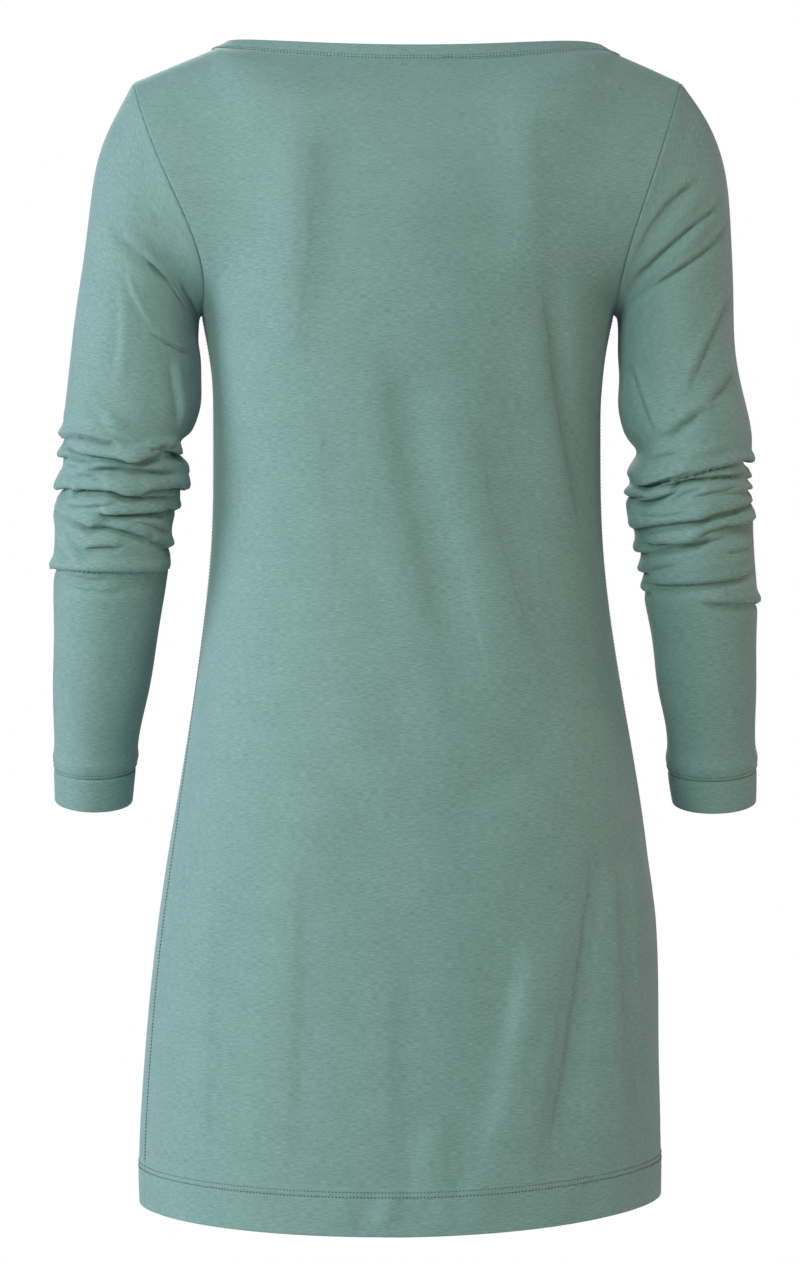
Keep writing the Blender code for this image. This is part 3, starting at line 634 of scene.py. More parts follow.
# %% Wide folds of the sleeves
SLEEVE_FOLD_COLUMNS = (
    "side", "angle_1", "along_1", "angle_2", "along_2", "angle_3", "along_3", "depth", "width",
)
SLEEVE_FOLDS = (
    ("left", 55, 60, 89, 64, 120, 43, 2.2, 7.0),
    ("left", 130, 30, 146, 24, 166, 18, 2.2, 5.0),
    ("left", -5, 200, 50, 203, 92, 214, 3.0, 5.5),
    ("left", 15, 208, 95, 223, 190, 213, 4.6, 5.5),
    ("left", 55, 232, 105, 230, 180, 234, 3.4, 5.5),
    ("left", 40, 241, 94, 247, 165, 249, 3.4, 5.5),
    ("left", -20, 240, 20, 246, 45, 252, 2.6, 5.0),
    ("left", 65, 262, 112, 260, 182, 256, 3.0, 5.5),
    ("left", 45, 268, 93, 271, 155, 285, 3.0, 5.5),
    ("left", 22, 270, 48, 281, 75, 294, 2.0, 5.5),
    ("left", -15, 307, 75, 308, 195, 312, 2.4, 6.0),
    ("left", 185, 214, 245, 205, 325, 212, 3.6, 6.0),
    ("left", 175, 232, 250, 222, 345, 238, 4.6, 6.0),
    ("left", 180, 248, 258, 241, 335, 247, 4.4, 6.0),
    ("left", 190, 262, 262, 258, 350, 266, 4.0, 6.0),
    ("left", 165, 282, 240, 277, 320, 270, 3.2, 6.0),
    ("left", 200, 298, 268, 290, 340, 296, 2.6, 6.0),
    ("left", 196, 150, 232, 165, 268, 160, 1.8, 8.0),
    ("right", 118, 12, 95, 24, 62, 42, 1.8, 6.0),
    ("right", 134, 18, 101, 46, 40, 66, 2.4, 7.0),
    ("right", 150, 30, 99, 78, 30, 84, 2.6, 8.0),
    ("right", 120, 210, 98, 196, 76, 182, 1.6, 8.0),
    ("right", 175, 246, 105, 232, 42, 217, 4.0, 5.5),
    ("right", 118, 244, 80, 235, 5, 230, 3.0, 5.0),
    ("right", 160, 258, 112, 246, 78, 239, 3.0, 5.0),
    ("right", 192, 276, 95, 269, 5, 248, 4.4, 6.0),
    ("right", 175, 287, 87, 279, -15, 262, 3.4, 5.5),
    ("right", 178, 314, 94, 309, 8, 300, 3.0, 6.0),
    ("right", 92, 322, 53, 324, 2, 323, 2.0, 5.5),
    ("right", 190, 218, 250, 208, 320, 204, 3.6, 6.0),
    ("right", 182, 236, 252, 224, 345, 228, 4.6, 6.0),
    ("right", 200, 252, 262, 243, 340, 246, 4.4, 6.0),
    ("right", 185, 268, 256, 262, 335, 262, 3.8, 6.0),
    ("right", 195, 290, 250, 281, 330, 278, 3.2, 6.0),
    ("right", 188, 306, 262, 298, 350, 294, 2.4, 6.0),
    ("right", 200, 158, 238, 170, 275, 168, 1.8, 8.0),
)
print("wide folds:", len(SLEEVE_FOLDS))

# %% [markdown]
# Between the wide folds the jersey is pinched into narrow creases, dark lines with a light roll above them.
# They are a second table with the same columns. A bump in the material could draw them, but it would leave
# the sleeve's outline smooth, where the real one is bitten in.

# %% Narrow creases of the sleeves
CREASES = (
    ("left", 54, 58, 81, 64, 145, 30, 2.2, 4.0),
    ("left", 96, 60, 118, 50, 149, 53, 1.8, 3.2),
    ("left", 106, 121, 121, 124, 152, 127, 2.4, 2.8),
    ("left", 39, 153, 58, 184, 99, 208, 2.4, 3.0),
    ("left", 73, 85, 88, 102, 106, 119, 1.4, 3.2),
    ("left", 67, 101, 75, 129, 71, 172, 1.0, 4.0),
    ("left", 88, 27, 100, 18, 120, 10, 1.8, 3.0),
    ("left", 126, 133, 131, 169, 145, 200, 2.8, 4.0),
    ("left", -30, 207, 50, 206, 92, 217, 5.4, 3.2),
    ("left", 11, 208, 70, 220, 118, 221, 5.0, 3.4),
    ("left", 87, 222, 118, 220, 131, 213, 4.6, 3.0),
    ("left", 117, 215, 125, 213, 154, 210, 3.4, 2.6),
    ("left", 134, 217, 145, 216, 173, 218, 4.2, 3.0),
    ("left", 3, 220, 41, 221, 62, 225, 2.6, 2.4),
    ("left", 61, 230, 94, 229, 157, 234, 4.2, 3.2),
    ("left", 43, 234, 66, 235, 87, 241, 2.8, 2.4),
    ("left", -8, 243, 72, 244, 122, 248, 4.8, 3.2),
    ("left", 85, 245, 119, 249, 168, 247, 3.4, 2.8),
    ("left", 115, 245, 130, 243, 179, 242, 4.2, 2.8),
    ("left", 45, 250, 49, 245, 58, 242, 2.4, 2.2),
    ("left", 76, 261, 107, 261, 175, 258, 4.8, 3.2),
    ("left", -2, 258, 52, 265, 86, 269, 3.0, 2.6),
    ("left", 55, 270, 96, 271, 142, 282, 3.4, 2.8),
    ("left", 33, 273, 55, 283, 73, 294, 2.4, 2.4),
    ("left", 63, 285, 84, 283, 105, 284, 2.8, 2.4),
    ("left", -12, 302, 78, 299, 204, 304, 3.6, 2.8),
    ("left", 15, 304, 62, 305, 89, 307, 2.2, 3.4),
    ("left", 64, 193, 85, 206, 110, 213, 1.8, 3.6),
    ("left", 132, 280, 150, 283, 188, 286, 2.6, 2.8),
    ("left", 28, 226, 52, 229, 84, 233, 2.0, 2.0),
    ("left", 30, 255, 66, 256, 100, 252, 2.2, 2.0),
    ("left", 20, 263, 50, 267, 82, 265, 2.0, 2.0),
    ("left", 104, 266, 132, 269, 160, 276, 2.0, 2.4),
    ("left", 30, 309, 70, 313, 120, 312, 1.6, 2.8),
    ("left", 10, 278, 38, 290, 66, 297, 1.8, 2.2),
    ("right", 55, 42, 93, 18, 133, 9, 2.2, 3.0),
    ("right", 146, 238, 118, 234, 84, 226, 2.4, 2.2),
    ("right", 96, 250, 66, 245, 40, 240, 2.0, 2.2),
    ("right", 150, 262, 120, 262, 90, 258, 1.8, 2.4),
    ("right", 70, 288, 44, 287, 20, 284, 1.4, 2.6),
    ("right", 60, 272, 34, 268, 4, 264, 2.2, 2.2),
    ("right", 30, 68, 86, 53, 143, 8, 2.1, 3.0),
    ("right", 16, 80, 68, 87, 125, 60, 2.1, 3.2),
    ("right", 60, 30, 73, 22, 87, 13, 1.2, 2.4),
    ("right", 27, 8, 48, 11, 64, 9, 1.6, 3.0),
    ("right", 23, 124, 55, 141, 90, 176, 2.4, 4.5),
    ("right", 20, 158, 50, 170, 73, 179, 2.8, 3.6),
    ("right", 151, 136, 133, 174, 128, 201, 2.4, 3.0),
    ("right", 56, 183, 84, 187, 132, 212, 1.8, 3.8),
    ("right", 161, 242, 109, 235, 29, 220, 5.2, 3.3),
    ("right", 113, 243, 85, 236, 14, 232, 4.4, 3.0),
    ("right", 122, 243, 111, 239, 100, 235, 2.2, 2.2),
    ("right", 175, 248, 148, 248, 138, 247, 4.4, 2.6),
    ("right", 163, 253, 126, 250, 101, 242, 4.0, 2.8),
    ("right", 115, 257, 100, 247, 71, 242, 2.6, 3.2),
    ("right", 197, 275, 119, 268, 72, 264, 3.6, 3.0),
    ("right", 95, 265, 54, 259, -17, 250, 3.2, 2.8),
    ("right", 171, 284, 109, 280, 76, 276, 4.6, 3.0),
    ("right", 102, 278, 63, 270, -11, 262, 3.6, 2.8),
    ("right", 164, 293, 108, 283, 52, 277, 3.0, 2.8),
    ("right", 179, 313, 95, 308, 8, 303, 3.0, 2.8),
    ("right", 100, 321, 50, 323, -22, 328, 2.6, 2.8),
    ("right", 135, 224, 120, 219, 101, 218, 1.8, 3.4),
    ("right", 116, 209, 99, 197, 77, 185, 2.0, 3.4),
    ("right", 5, 219, 42, 224, 72, 229, 2.2, 2.8),
    ("right", -5, 244, 38, 246, 72, 248, 1.8, 2.8),
    ("right", 190, 306, 150, 301, 105, 294, 1.8, 3.2),
    ("left", 142, 215, 180, 216, 222, 213, 3.2, 2.8),
    ("left", 145, 239, 180, 241, 220, 240, 4.6, 3.0),
    ("left", 150, 258, 180, 258, 215, 260, 3.2, 2.6),
    ("left", 148, 286, 180, 288, 216, 287, 3.0, 3.0),
    ("left", -40, 220, 0, 220, 32, 222, 3.4, 2.8),
    ("left", -36, 243, 0, 243, 30, 244, 2.8, 2.6),
    ("left", -34, 303, 0, 303, 30, 303, 3.2, 2.6),
    ("right", 144, 247, 180, 248, 220, 247, 3.6, 2.6),
    ("right", 144, 289, 180, 291, 218, 290, 4.0, 3.2),
    ("right", 148, 304, 180, 306, 215, 305, 3.0, 2.6),
    ("right", 150, 319, 180, 320, 212, 321, 2.6, 2.8),
    ("right", -38, 221, 0, 221, 32, 221, 5.0, 2.6),
    ("right", -34, 235, 0, 235, 28, 235, 2.6, 2.0),
    ("right", -34, 243, 0, 243, 28, 243, 2.4, 2.0),
    ("right", -34, 328, 0, 328, 26, 329, 2.8, 2.4),
    ("left", 196, 215, 256, 206, 340, 206, 4.6, 3.2),
    ("left", 165, 233, 250, 223, 352, 222, 5.0, 3.3),
    ("left", 172, 246, 258, 242, 348, 243, 4.6, 3.1),
    ("left", 182, 262, 262, 259, 345, 262, 4.4, 3.1),
    ("left", 172, 283, 240, 278, 315, 270, 3.4, 2.8),
    ("left", 196, 304, 268, 291, 344, 302, 3.6, 3.0),
    ("left", 215, 232, 240, 234, 262, 230, 2.2, 2.2),
    ("left", 262, 250, 290, 252, 318, 249, 2.4, 2.4),
    ("right", 204, 217, 258, 209, 345, 214, 4.6, 3.2),
    ("right", 178, 238, 252, 225, 350, 232, 5.0, 3.3),
    ("right", 186, 252, 262, 244, 346, 246, 4.6, 3.1),
    ("right", 190, 272, 256, 263, 342, 258, 4.4, 3.1),
    ("right", 182, 290, 250, 282, 325, 278, 3.4, 2.8),
    ("right", 176, 310, 262, 299, 350, 302, 3.6, 3.0),
    ("right", 222, 232, 245, 236, 270, 234, 2.2, 2.2),
    ("right", 270, 252, 296, 255, 322, 253, 2.4, 2.4),
)
print("narrow creases:", len(CREASES))

# %% [markdown]
# Where the creases reach the two edges of a sleeve, its outline swells out or is drawn in by some
# millimetres. Each such lobe is a soft bump or dent on the grid. Deeper creases alone would only cut notches
# and leave out the rounded swellings between them.

# %% Lobes at the edges of the sleeves
LOBE_COLUMNS = ("side", "angle", "along", "height", "angle_reach", "along_reach")
LOBES = (
    ("left", 180, 211, -8.0, 34, 9),
    ("left", 180, 232, 3.5, 30, 7),
    ("left", 0, 227, -2.5, 26, 5),
    ("left", 180, 270, -2.0, 26, 7),
    ("left", 0, 262, 2.0, 26, 8),
    ("right", 180, 215, -8.5, 36, 10),
    ("right", 180, 238, -3.0, 30, 8),
    ("right", 180, 276, -1.5, 26, 7),
    ("right", 0, 223, -3.5, 26, 4),
    ("right", 0, 262, 1.5, 30, 9),
)


def lobe_height(side, angles, along):
    """Where the bunched sleeve bulges out or is drawn in at its two edges."""
    height = np.zeros(np.broadcast_shapes(angles.shape, along.shape))
    for row in LOBES:
        lobe = dict(zip(LOBE_COLUMNS, row))
        if lobe["side"] == side:
            aside = (np.mod(angles - lobe["angle"] + 180, 360) - 180) / lobe["angle_reach"]
            lengthwise = (along - lobe["along"]) / lobe["along_reach"]
            height += lobe["height"] * np.exp(-(aside**2) - lengthwise**2)
    return height


print("lobes:", len(LOBES))

# %% [markdown]
# A crease isn't only a dip. Cloth that is pushed together rolls over from above, so a crease here is a narrow
# trough with a roll above it and a weak hollow below, and the roll also slides a little down the sleeve. A
# plain trough would look like a scratch.

# %% How folds and creases move the cloth
SLEEVE_MM_PER_DEGREE = 0.8


def each_fold(side, angles, along, table, reach):
    """For each fold of a side: its row, the places near it, how many widths away they are, its strength."""
    for row in table:
        fold = dict(zip(SLEEVE_FOLD_COLUMNS, row))
        if fold["side"] != side:
            continue
        bends = np.array([[fold[f"angle_{i}"] * SLEEVE_MM_PER_DEGREE, fold[f"along_{i}"]] for i in (1, 2, 3)])
        for turn in (-360, 0, 360):
            places = np.stack(np.broadcast_arrays((angles + turn) * SLEEVE_MM_PER_DEGREE, along), axis=-1)
            near, distance, at = nearness(places, bends, 1, reach * fold["width"])
            if near.any():
                strength = smooth_step(at / 0.25) * smooth_step((1 - at) / 0.25)
                yield fold, near, distance / fold["width"], strength


def soft_fold_height(side, angles, along):
    """The wide folds of the solids: a trough with a softer roll above it."""
    height = np.zeros(np.broadcast_shapes(angles.shape, along.shape))
    for fold, near, d, strength in each_fold(side, angles, along, SLEEVE_FOLDS, 5):
        height[near] += fold["depth"] * strength * (0.6 * np.exp(-((d + 1.75) ** 2)) - np.exp(-(d**2)))
    return height


def crease_moves(side, angles, along):
    """How far the creases move the cloth out, and down the sleeve where a roll hangs over its crease."""
    out = np.zeros(np.broadcast_shapes(angles.shape, along.shape))
    down = np.zeros_like(out)
    for fold, near, d, strength in each_fold(side, angles, along, CREASES, 6):
        roll = 0.75 * np.exp(-(((d + 1.35) / 1.05) ** 2))
        trough = 0.95 * np.exp(-(np.abs(d / 0.42) ** 1.5))
        hollow = 0.35 * np.exp(-(((d - 0.9) / 0.9) ** 2))
        out[near] += fold["depth"] * strength * (roll - trough - hollow)
        down[near] += fold["depth"] * strength * 0.5 * np.exp(-(((d + 1.0) / 0.9) ** 2))
    return out, down


crease_depths = [row[SLEEVE_FOLD_COLUMNS.index("depth")] for row in CREASES]
print("creases from", min(crease_depths), "to", max(crease_depths), "mm deep")

# %% [markdown]
# Plain jersey is never quite even. A few long waves of under half a millimetre, of different lengths and
# directions, keep the light from sliding over the cloth as it would over plastic.

# %% Slow waves in the cloth
WAVE_COLUMNS = ("across", "along", "turn", "height")
WAVES = (
    (0.021, 0.006, 0.3, 0.30),
    (0.035, -0.011, 1.9, 0.22),
    (0.012, 0.017, 4.1, 0.28),
    (0.052, 0.009, 2.7, 0.12),
    (0.008, 0.043, 5.2, 0.10),
    (0.071, -0.024, 0.9, 0.07),
)


def slow_waves(flat, turn):
    """Small heights over a flat place in millimetres. The turn makes each piece differ."""
    height = np.zeros(flat.shape[:-1])
    for row in WAVES:
        wave = dict(zip(WAVE_COLUMNS, row))
        phase = flat[..., 0] * wave["across"] + flat[..., 1] * wave["along"] + wave["turn"] + turn
        height += wave["height"] * np.sin(phase)
    return height


print("waves:", len(WAVES), "of up to", max(row[3] for row in WAVES), "mm")

# %% [markdown]
# Waves and knit both need to know where a point of the dress lies on the flat cloth. Distances along the
# grid give that, and no unwrapping of a finished mesh would keep the courses as level as they are knitted.

# %% Places on the flat cloth
LEVELLING_RISE = 60


def flat_places(points):
    """Where each point lies on the flat cloth: distance from the middle across, and along."""
    along = run_lengths(points, 1)
    middle = along[:, [along.shape[1] // 2]]
    up = run_lengths(points, 0).mean(axis=1)
    return np.stack([along - middle, np.broadcast_to(up[:, None], along.shape)], axis=-1)


def level_courses(flat, points):
    """Keeps a panel's courses level above the armpits, where the rows of its grid rise to the shoulders."""
    level = smooth_step((points[..., 2] + ARMPIT_DROP) / LEVELLING_RISE)
    rise = points[..., 2] - points[:, [points.shape[1] // 2], 2]
    return flat + np.stack([np.zeros_like(rise), level * rise], axis=-1)


print("courses turn level within", LEVELLING_RISE, "mm above the armpits")

# %% [markdown]
# Now the smooth surfaces get their folds. Near the sewn edges the folds fade out, as on a real dress, where
# the seam allowances stiffen the cloth. A displacement texture on finished meshes would be quicker to set
# up, but it couldn't fade out seam by seam.

# %% Fold the panels
SIDE_FADE = 0.17
WAVE_TURNS = {"back": 0.0, "front": 2.0, "left": 1.0, "right": 3.0}
form = {}
for face in ("back", "front"):
    points = base[face]
    height = back_band_height(points) if face == "back" else front_fold_height(points)
    height += slow_waves(flat_places(points), WAVE_TURNS[face])
    height *= smooth_step((1 - np.abs(across[face])) / SIDE_FADE)[None, :]
    form[face] = points + grid_normals(points) * height[..., None]
    print(face, "panel moved by up to", round(float(np.abs(height).max()), 1), "mm")

# %% [markdown]
# The sleeves are folded in two rounds. The wide folds and the lobes come first and give the arm its uneven
# outline, and the narrow creases then follow the normals of that new surface. In one round, a crease on the
# flank of a wide fold would point the wrong way.

# %% Crease the sleeves
SOFT_SHARE = 0.75
END_FADE = 30
CUFF_BULGE = 1.2
for side in ("left", "right"):
    points = base[side]
    angles, along = across[side][None, :], sleeve_rows[:, None]
    ends = smooth_step(along / END_FADE) * smooth_step((CUFF_SEAM_ALONG - along) / END_FADE)
    soft = SOFT_SHARE * soft_fold_height(side, angles, along) * ends
    points = points + grid_normals(points) * (soft + lobe_height(side, angles, along))[..., None]
    out, down = crease_moves(side, angles, along)
    waves = slow_waves(flat_places(base[side]), WAVE_TURNS[side])
    out = out * ends + waves * smooth_step(along / END_FADE)
    out += CUFF_BULGE * np.exp(-(((CUFF_SEAM_ALONG - along - 9) / 5) ** 2))
    way_down = unit(np.gradient(base[side], axis=0))
    form[side] = points + grid_normals(points) * out[..., None] + way_down * (down * ends)[..., None]
    print(side, "sleeve creases:", sum(row[0] == side for row in SLEEVE_FOLDS + CREASES))


# %% [markdown]
# A sewn seam is two edges that turn inwards and lie against each other, so from outside it is a fine groove
# with a slight puff beside it. The groove runs straight in where both pieces face alike. Each piece also
# gets its allowance, the turned-in strip behind the seam, so no light shows through. A groove in a bump
# would be cheaper, but it casts no shadow, and the seams of the real dress show by theirs.

# %% The groove of a seam
SEAM_DEPTH = 1.15
SEAM_WIDTH = 0.7
SEAM_DIP = 0.12
UNDERARM_SHARE = 0.7
PUFF = 0.08
PUFF_PLACE = 4.5
PUFF_WIDTH = 2.6


def seam_way(own, other):
    """A way out that both pieces share at each point of their seam, and how alike they face there."""
    alike = np.clip(np.sum(own * other, axis=-1, keepdims=True), 0, 1)
    return unit(own + other - np.array([0, 0, SEAM_DIP])), alike


def sink_seam(points, normals, distance, way, alike):
    """Sinks the cloth into a groove at the seam and puffs it up a little beside it."""
    groove = np.exp(-((distance / SEAM_WIDTH) ** 2))[..., None]
    puff = np.exp(-(((distance - PUFF_PLACE) / PUFF_WIDTH) ** 2))[..., None]
    return points - way * alike * groove * SEAM_DEPTH + normals * puff * PUFF


def sink_underarm_seam(points, normals):
    """Sinks the seam that closes a tube of cloth, and gives the seam's way out at each row."""
    way = unit(normals[:, 0] + normals[:, -1])
    reach = run_lengths(points, 1)
    distance = np.minimum(reach, reach[:, -1:] - reach)
    alike = np.full((len(points), 1, 1), UNDERARM_SHARE)
    return sink_seam(points, normals, distance, way[:, None], alike), way


print("a seam is", SEAM_DEPTH, "mm deep")

# %% [markdown]
# For a seam to close, both of its pieces must sink the same way. So each piece looks up how its neighbour
# faces along the shared edge. Joining the meshes would do that by itself, but then the pieces would no
# longer be pieces.

# %% How the neighbours face
panel_normals = {face: grid_normals(form[face]) for face in ("back", "front")}
sleeve_normals = {side: grid_normals(form[side]) for side in ("left", "right")}
armpit_row = int(np.argmax(row_key >= armpit_key - 0.5))
print("armpit row:", armpit_row, "of", len(row_key))


def edge_normals(face, side):
    """Normals down the edge of a panel on one side of the dress, hem first."""
    first = (face == "back") == (side == "left")
    return panel_normals[face][:, 0 if first else -1]


def armhole_normals(side):
    """Normals of the panels round an armhole, at angles that rise from the shoulder, behind and under it."""
    back = edge_normals("back", side)[armpit_row:][::-1]
    front = edge_normals("front", side)[armpit_row:]
    angles = 180 * (1 - yoke_places)
    return np.concatenate([angles[::-1], 360 - angles[1:]]), np.concatenate([back, front[1:]])


def at_angles(angles, keys, values):
    """Values round a ring, read at other angles."""
    turned = np.mod(angles, 360)
    return np.stack([np.interp(turned, keys, values[:, k]) for k in range(values.shape[1])], axis=-1)


def sleeve_edge_normals(side, angles):
    """Normals of a sleeve's upper end, at other angles."""
    order = np.argsort(np.mod(across[side], 360))
    keys = np.mod(across[side], 360)[order]
    return unit(at_angles(angles, keys, sleeve_normals[side][0][order]))


# %% [markdown]
# A panel has seams at its sides, its armholes and its shoulders, and its neck edge goes under the band. The
# allowances are two more places or rows behind each sewn edge.

# %% The seams of a panel
ALLOWANCE = (1.2, 4.5)
UNDER_NECK_EDGE = NECK_SHARE - 1e-4


def panel_seams(face):
    """Sinks the side, armhole and shoulder seams of a panel, and gives the ways out at its edges."""
    other = "front" if face == "back" else "back"
    points, normals = form[face], panel_normals[face]
    edges = []
    for side, column in (("left", 0), ("right", -1)) if face == "back" else (("right", 0), ("left", -1)):
        theirs = edge_normals(other, side).copy()
        angles = 180 * (1 - yoke_places) if face == "back" else 180 + 180 * yoke_places
        theirs[armpit_row + 1 :] = sleeve_edge_normals(side, angles[1:])
        way, alike = seam_way(normals[:, column], theirs)
        reach = run_lengths(points if column == 0 else points[:, ::-1], 1)
        distance = reach if column == 0 else reach[:, ::-1]
        points = sink_seam(points, normals, distance, way[:, None], alike[:, None])
        edges.append(way)
    shoulder = (np.abs(across[face]) > UNDER_NECK_EDGE)[None, :, None]
    way, alike = seam_way(normals[-1], panel_normals[other][-1][::-1])
    distance = run_lengths(points[::-1], 0)[::-1]
    sunk = sink_seam(points, normals, distance, way[None], alike[None])
    points = np.where(shoulder, sunk, points)
    return points, edges, way


def add_allowances(points, first=None, last=None, top=None):
    """Adds strips turned in behind the first and the last column and the last row of a grid."""
    if top is not None:
        more = [points[-1] - top * depth for depth in ALLOWANCE]
        points = np.concatenate([points, more])
        first, last = [np.concatenate([way, way[-1:], way[-1:]]) for way in (first, last)]
    before = [points[:, 0] - first * depth for depth in ALLOWANCE[::-1]]
    after = [points[:, -1] - last * depth for depth in ALLOWANCE]
    stack = [column[:, None] for column in before] + [points] + [column[:, None] for column in after]
    return np.concatenate(stack, axis=1)


print("steps of an allowance:", ALLOWANCE, "mm")

# %% [markdown]
# Hem, cuffs and neck edge are turned up inside. The same helper folds any free edge: an inner layer that
# follows the outer one at a small distance, and a half circle of cloth that joins them.

# %% Turned edges
TURN_GAP = 1.8


def turned_edge(points, normals, inner_rows):
    """Rows for the turned-in layer and the fold, to go before the first row, which is the free edge."""
    inner = [points[row] - normals[row] * TURN_GAP for row in inner_rows]
    out = unit(points[0] - points[1])
    middle = points[0] - normals[0] * TURN_GAP / 2
    fold = []
    for turn in (135, 90, 45):
        s, c = np.sin(np.radians(turn)), np.cos(np.radians(turn))
        fold.append(middle + (normals[0] * c + out * s) * TURN_GAP / 2)
    return np.concatenate([np.array(inner), points[:1] - normals[:1] * TURN_GAP, np.array(fold), points])


print("layers of a turned edge:", TURN_GAP, "mm apart")

# %% [markdown]
# Each piece of cloth is a plain grid from bmesh, made as flat rows and columns, whose vertices are then
# moved to their places on the surface. The grid keeps its flat place as a UV map, in metres, so the knit
# runs with the cloth and not with the room. A thin Solidify gives the sheet its thickness, inwards.

# %% From a grid to a piece of cloth
CLOTH_THICKNESS = 0.8


def cloth_piece(name, points, flat, material):
    """A sheet of cloth whose grid of vertices goes to these points, with its flat place as a UV map."""
    rows, places = points.shape[:2]
    shape = bmesh.new()
    bmesh.ops.create_grid(shape, x_segments=places - 1, y_segments=rows - 1, size=0.5)
    spots = [(round((v.co.y + 0.5) * (rows - 1)), round((v.co.x + 0.5) * (places - 1))) for v in shape.verts]
    knit = shape.loops.layers.uv.new("knit")
    for vertex, (row, place) in zip(shape.verts, spots):
        vertex.co = points[row, place] * MM
        for loop in vertex.link_loops:
            loop[knit].uv = flat[row, place] * MM
    data = bpy.data.meshes.new(name)
    shape.to_mesh(data)
    shape.free()
    data.shade_smooth()
    obj = bpy.data.objects.new(name, data)
    bpy.context.scene.collection.objects.link(obj)
    data.materials.append(material)
    wall = obj.modifiers.new("thickness", "SOLIDIFY")
    wall.thickness = CLOTH_THICKNESS * MM
    wall.offset = -1
    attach(obj, "root")
    print(name, rows, "x", places, "places")


# %% [markdown]
# A material is a sum of patterns, and a sum is easier to read as a sum than as a web of nodes. So one small
# class stands for a socket of the nodes. Adding or multiplying it places the Math node that does this, and
# one method adds any other node: its settings first, then what goes into its sockets.

# %% Sums of patterns
class Pattern:
    """A socket in a material's nodes, which can be used in sums."""

    def __init__(self, tree, socket=None):
        self.tree = tree
        self.socket = socket

    def node(self, kind, settings, values, output=0):
        """Adds a node, with its settings and with the numbers or patterns on its sockets."""
        added = self.tree.nodes.new(kind)
        for name, setting in settings.items():
            setattr(added, name, setting)
        for name, value in values.items():
            if isinstance(value, Pattern):
                self.tree.links.new(value.socket, added.inputs[name])
            else:
                added.inputs[name].default_value = value
        return Pattern(self.tree, added.outputs[output])

    def maths(self, operation, *values):
        return self.node("ShaderNodeMath", {"operation": operation}, dict(enumerate(values)))

    def __add__(self, other):
        return self.maths("ADD", self, other)

    def __mul__(self, other):
        return self.maths("MULTIPLY", self, other)

    def __sub__(self, other):
        return self.maths("SUBTRACT", self, other)

    def __rsub__(self, other):
        return self.maths("SUBTRACT", other, self)

    __radd__ = __add__
    __rmul__ = __mul__

    def stretched_noise(self, wide, high, detail=2.0, roughness=0.5):
        """Noise whose patches are about this wide and high, in metres, on the place in this socket."""
        scale = (1 / wide, 1 / high, 1 / wide)
        place = self.node("ShaderNodeMapping", {}, {"Vector": self, "Scale": scale})
        values = {"Vector": place, "Scale": 1.0, "Detail": detail, "Roughness": roughness}
        return self.node("ShaderNodeTexNoise", {"noise_dimensions": "2D"}, values)

    def between(self, low, high):
        """This pattern as a colour between two others."""
        return self.node("ShaderNodeMix", {"data_type": "RGBA"}, {0: self, 6: low, 7: high}, output=2)


print("a pattern can also make:", [name for name in vars(Pattern) if not name.startswith("_")])

# %% [markdown]
# The dress is a fine single jersey in a dusty green. Close up, its yarn is a little uneven, so it shows
# short level streaks and a fine speckle, and the loops stand in upright wales. All of it lies on the flat
# place of the cloth, its UV map in metres, so streaks follow the courses round a sleeve. A sheen keeps the
# edges light, as fibre ends do. An image of cloth would repeat, and noise at the true sizes doesn't.

# %% The jersey
JERSEY_DARK = (0.076, 0.165, 0.148, 1)
JERSEY_LIGHT = (0.207, 0.340, 0.320, 1)
WALE = 0.00072
COURSE = 0.00052


def jersey_material():
    material = bpy.data.materials.new("jersey")
    material.use_nodes = True
    tree = material.node_tree
    shader = tree.nodes["Principled BSDF"]
    flat = Pattern(tree).node("ShaderNodeUVMap", {"uv_map": "knit"}, {})
    streaks = flat.stretched_noise(0.0055, 0.0008, detail=2.0, roughness=0.55)
    speckle = flat.stretched_noise(0.0012, 0.0010, detail=1.0)
    bars = flat.stretched_noise(0.045, 0.0035)
    clouds = flat.stretched_noise(0.030, 0.022)
    tone = 0.5 + (streaks - 0.5) * 0.95 + (speckle - 0.5) * 0.35 + (bars - 0.5) * 0.14 + (clouds - 0.5) * 0.16
    tree.links.new(tone.between(JERSEY_DARK, JERSEY_LIGHT).socket, shader.inputs["Base Color"])
    tree.links.new((0.70 + (streaks - 0.5) * 0.25).socket, shader.inputs["Roughness"])
    across_cloth = flat.node("ShaderNodeSeparateXYZ", {}, {0: flat}, output=0)
    up_cloth = flat.node("ShaderNodeSeparateXYZ", {}, {0: flat}, output=1)
    wales = flat.maths("ABSOLUTE", flat.maths("SINE", across_cloth * (np.pi / WALE)))
    courses = flat.maths("SINE", up_cloth * (2 * np.pi / COURSE) + wales * 2.2)
    height = wales * 0.5 + courses * 0.25 + streaks * 0.5 + speckle * 0.5
    bump = height.node("ShaderNodeBump", {}, {"Strength": 0.45, "Distance": 0.00012, "Height": height})
    tree.links.new(bump.socket, shader.inputs["Normal"])
    shader.inputs["Specular IOR Level"].default_value = 0.35
    shader.inputs["Sheen Weight"].default_value = 0.24
    shader.inputs["Sheen Roughness"].default_value = 0.45
    shader.inputs["Sheen Tint"].default_value = (0.82, 0.90, 1.0, 1)
    return material


jersey = jersey_material()
print("wales to the centimetre:", round(0.01 / WALE), "and courses:", round(0.01 / COURSE))

# %% [markdown]
# The seams are sewn with polyester thread dyed to match the jersey. Its colour here is painted far darker
# than the jersey's, as painted shade for the furrow and needle holes that it lies in. A thread is too thin
# for a texture to be seen on it, so it gets a fine fleck along its twist and a slightly silkier surface than
# the jersey.

# %% The thread, darkened with painted shade
# Painted shade: both thread colours are darkened to stand for the shadow of the furrow the thread lies in.
THREAD_SHADE_DARK = (0.014, 0.034, 0.030, 1)
THREAD_SHADE_LIGHT = (0.032, 0.068, 0.060, 1)


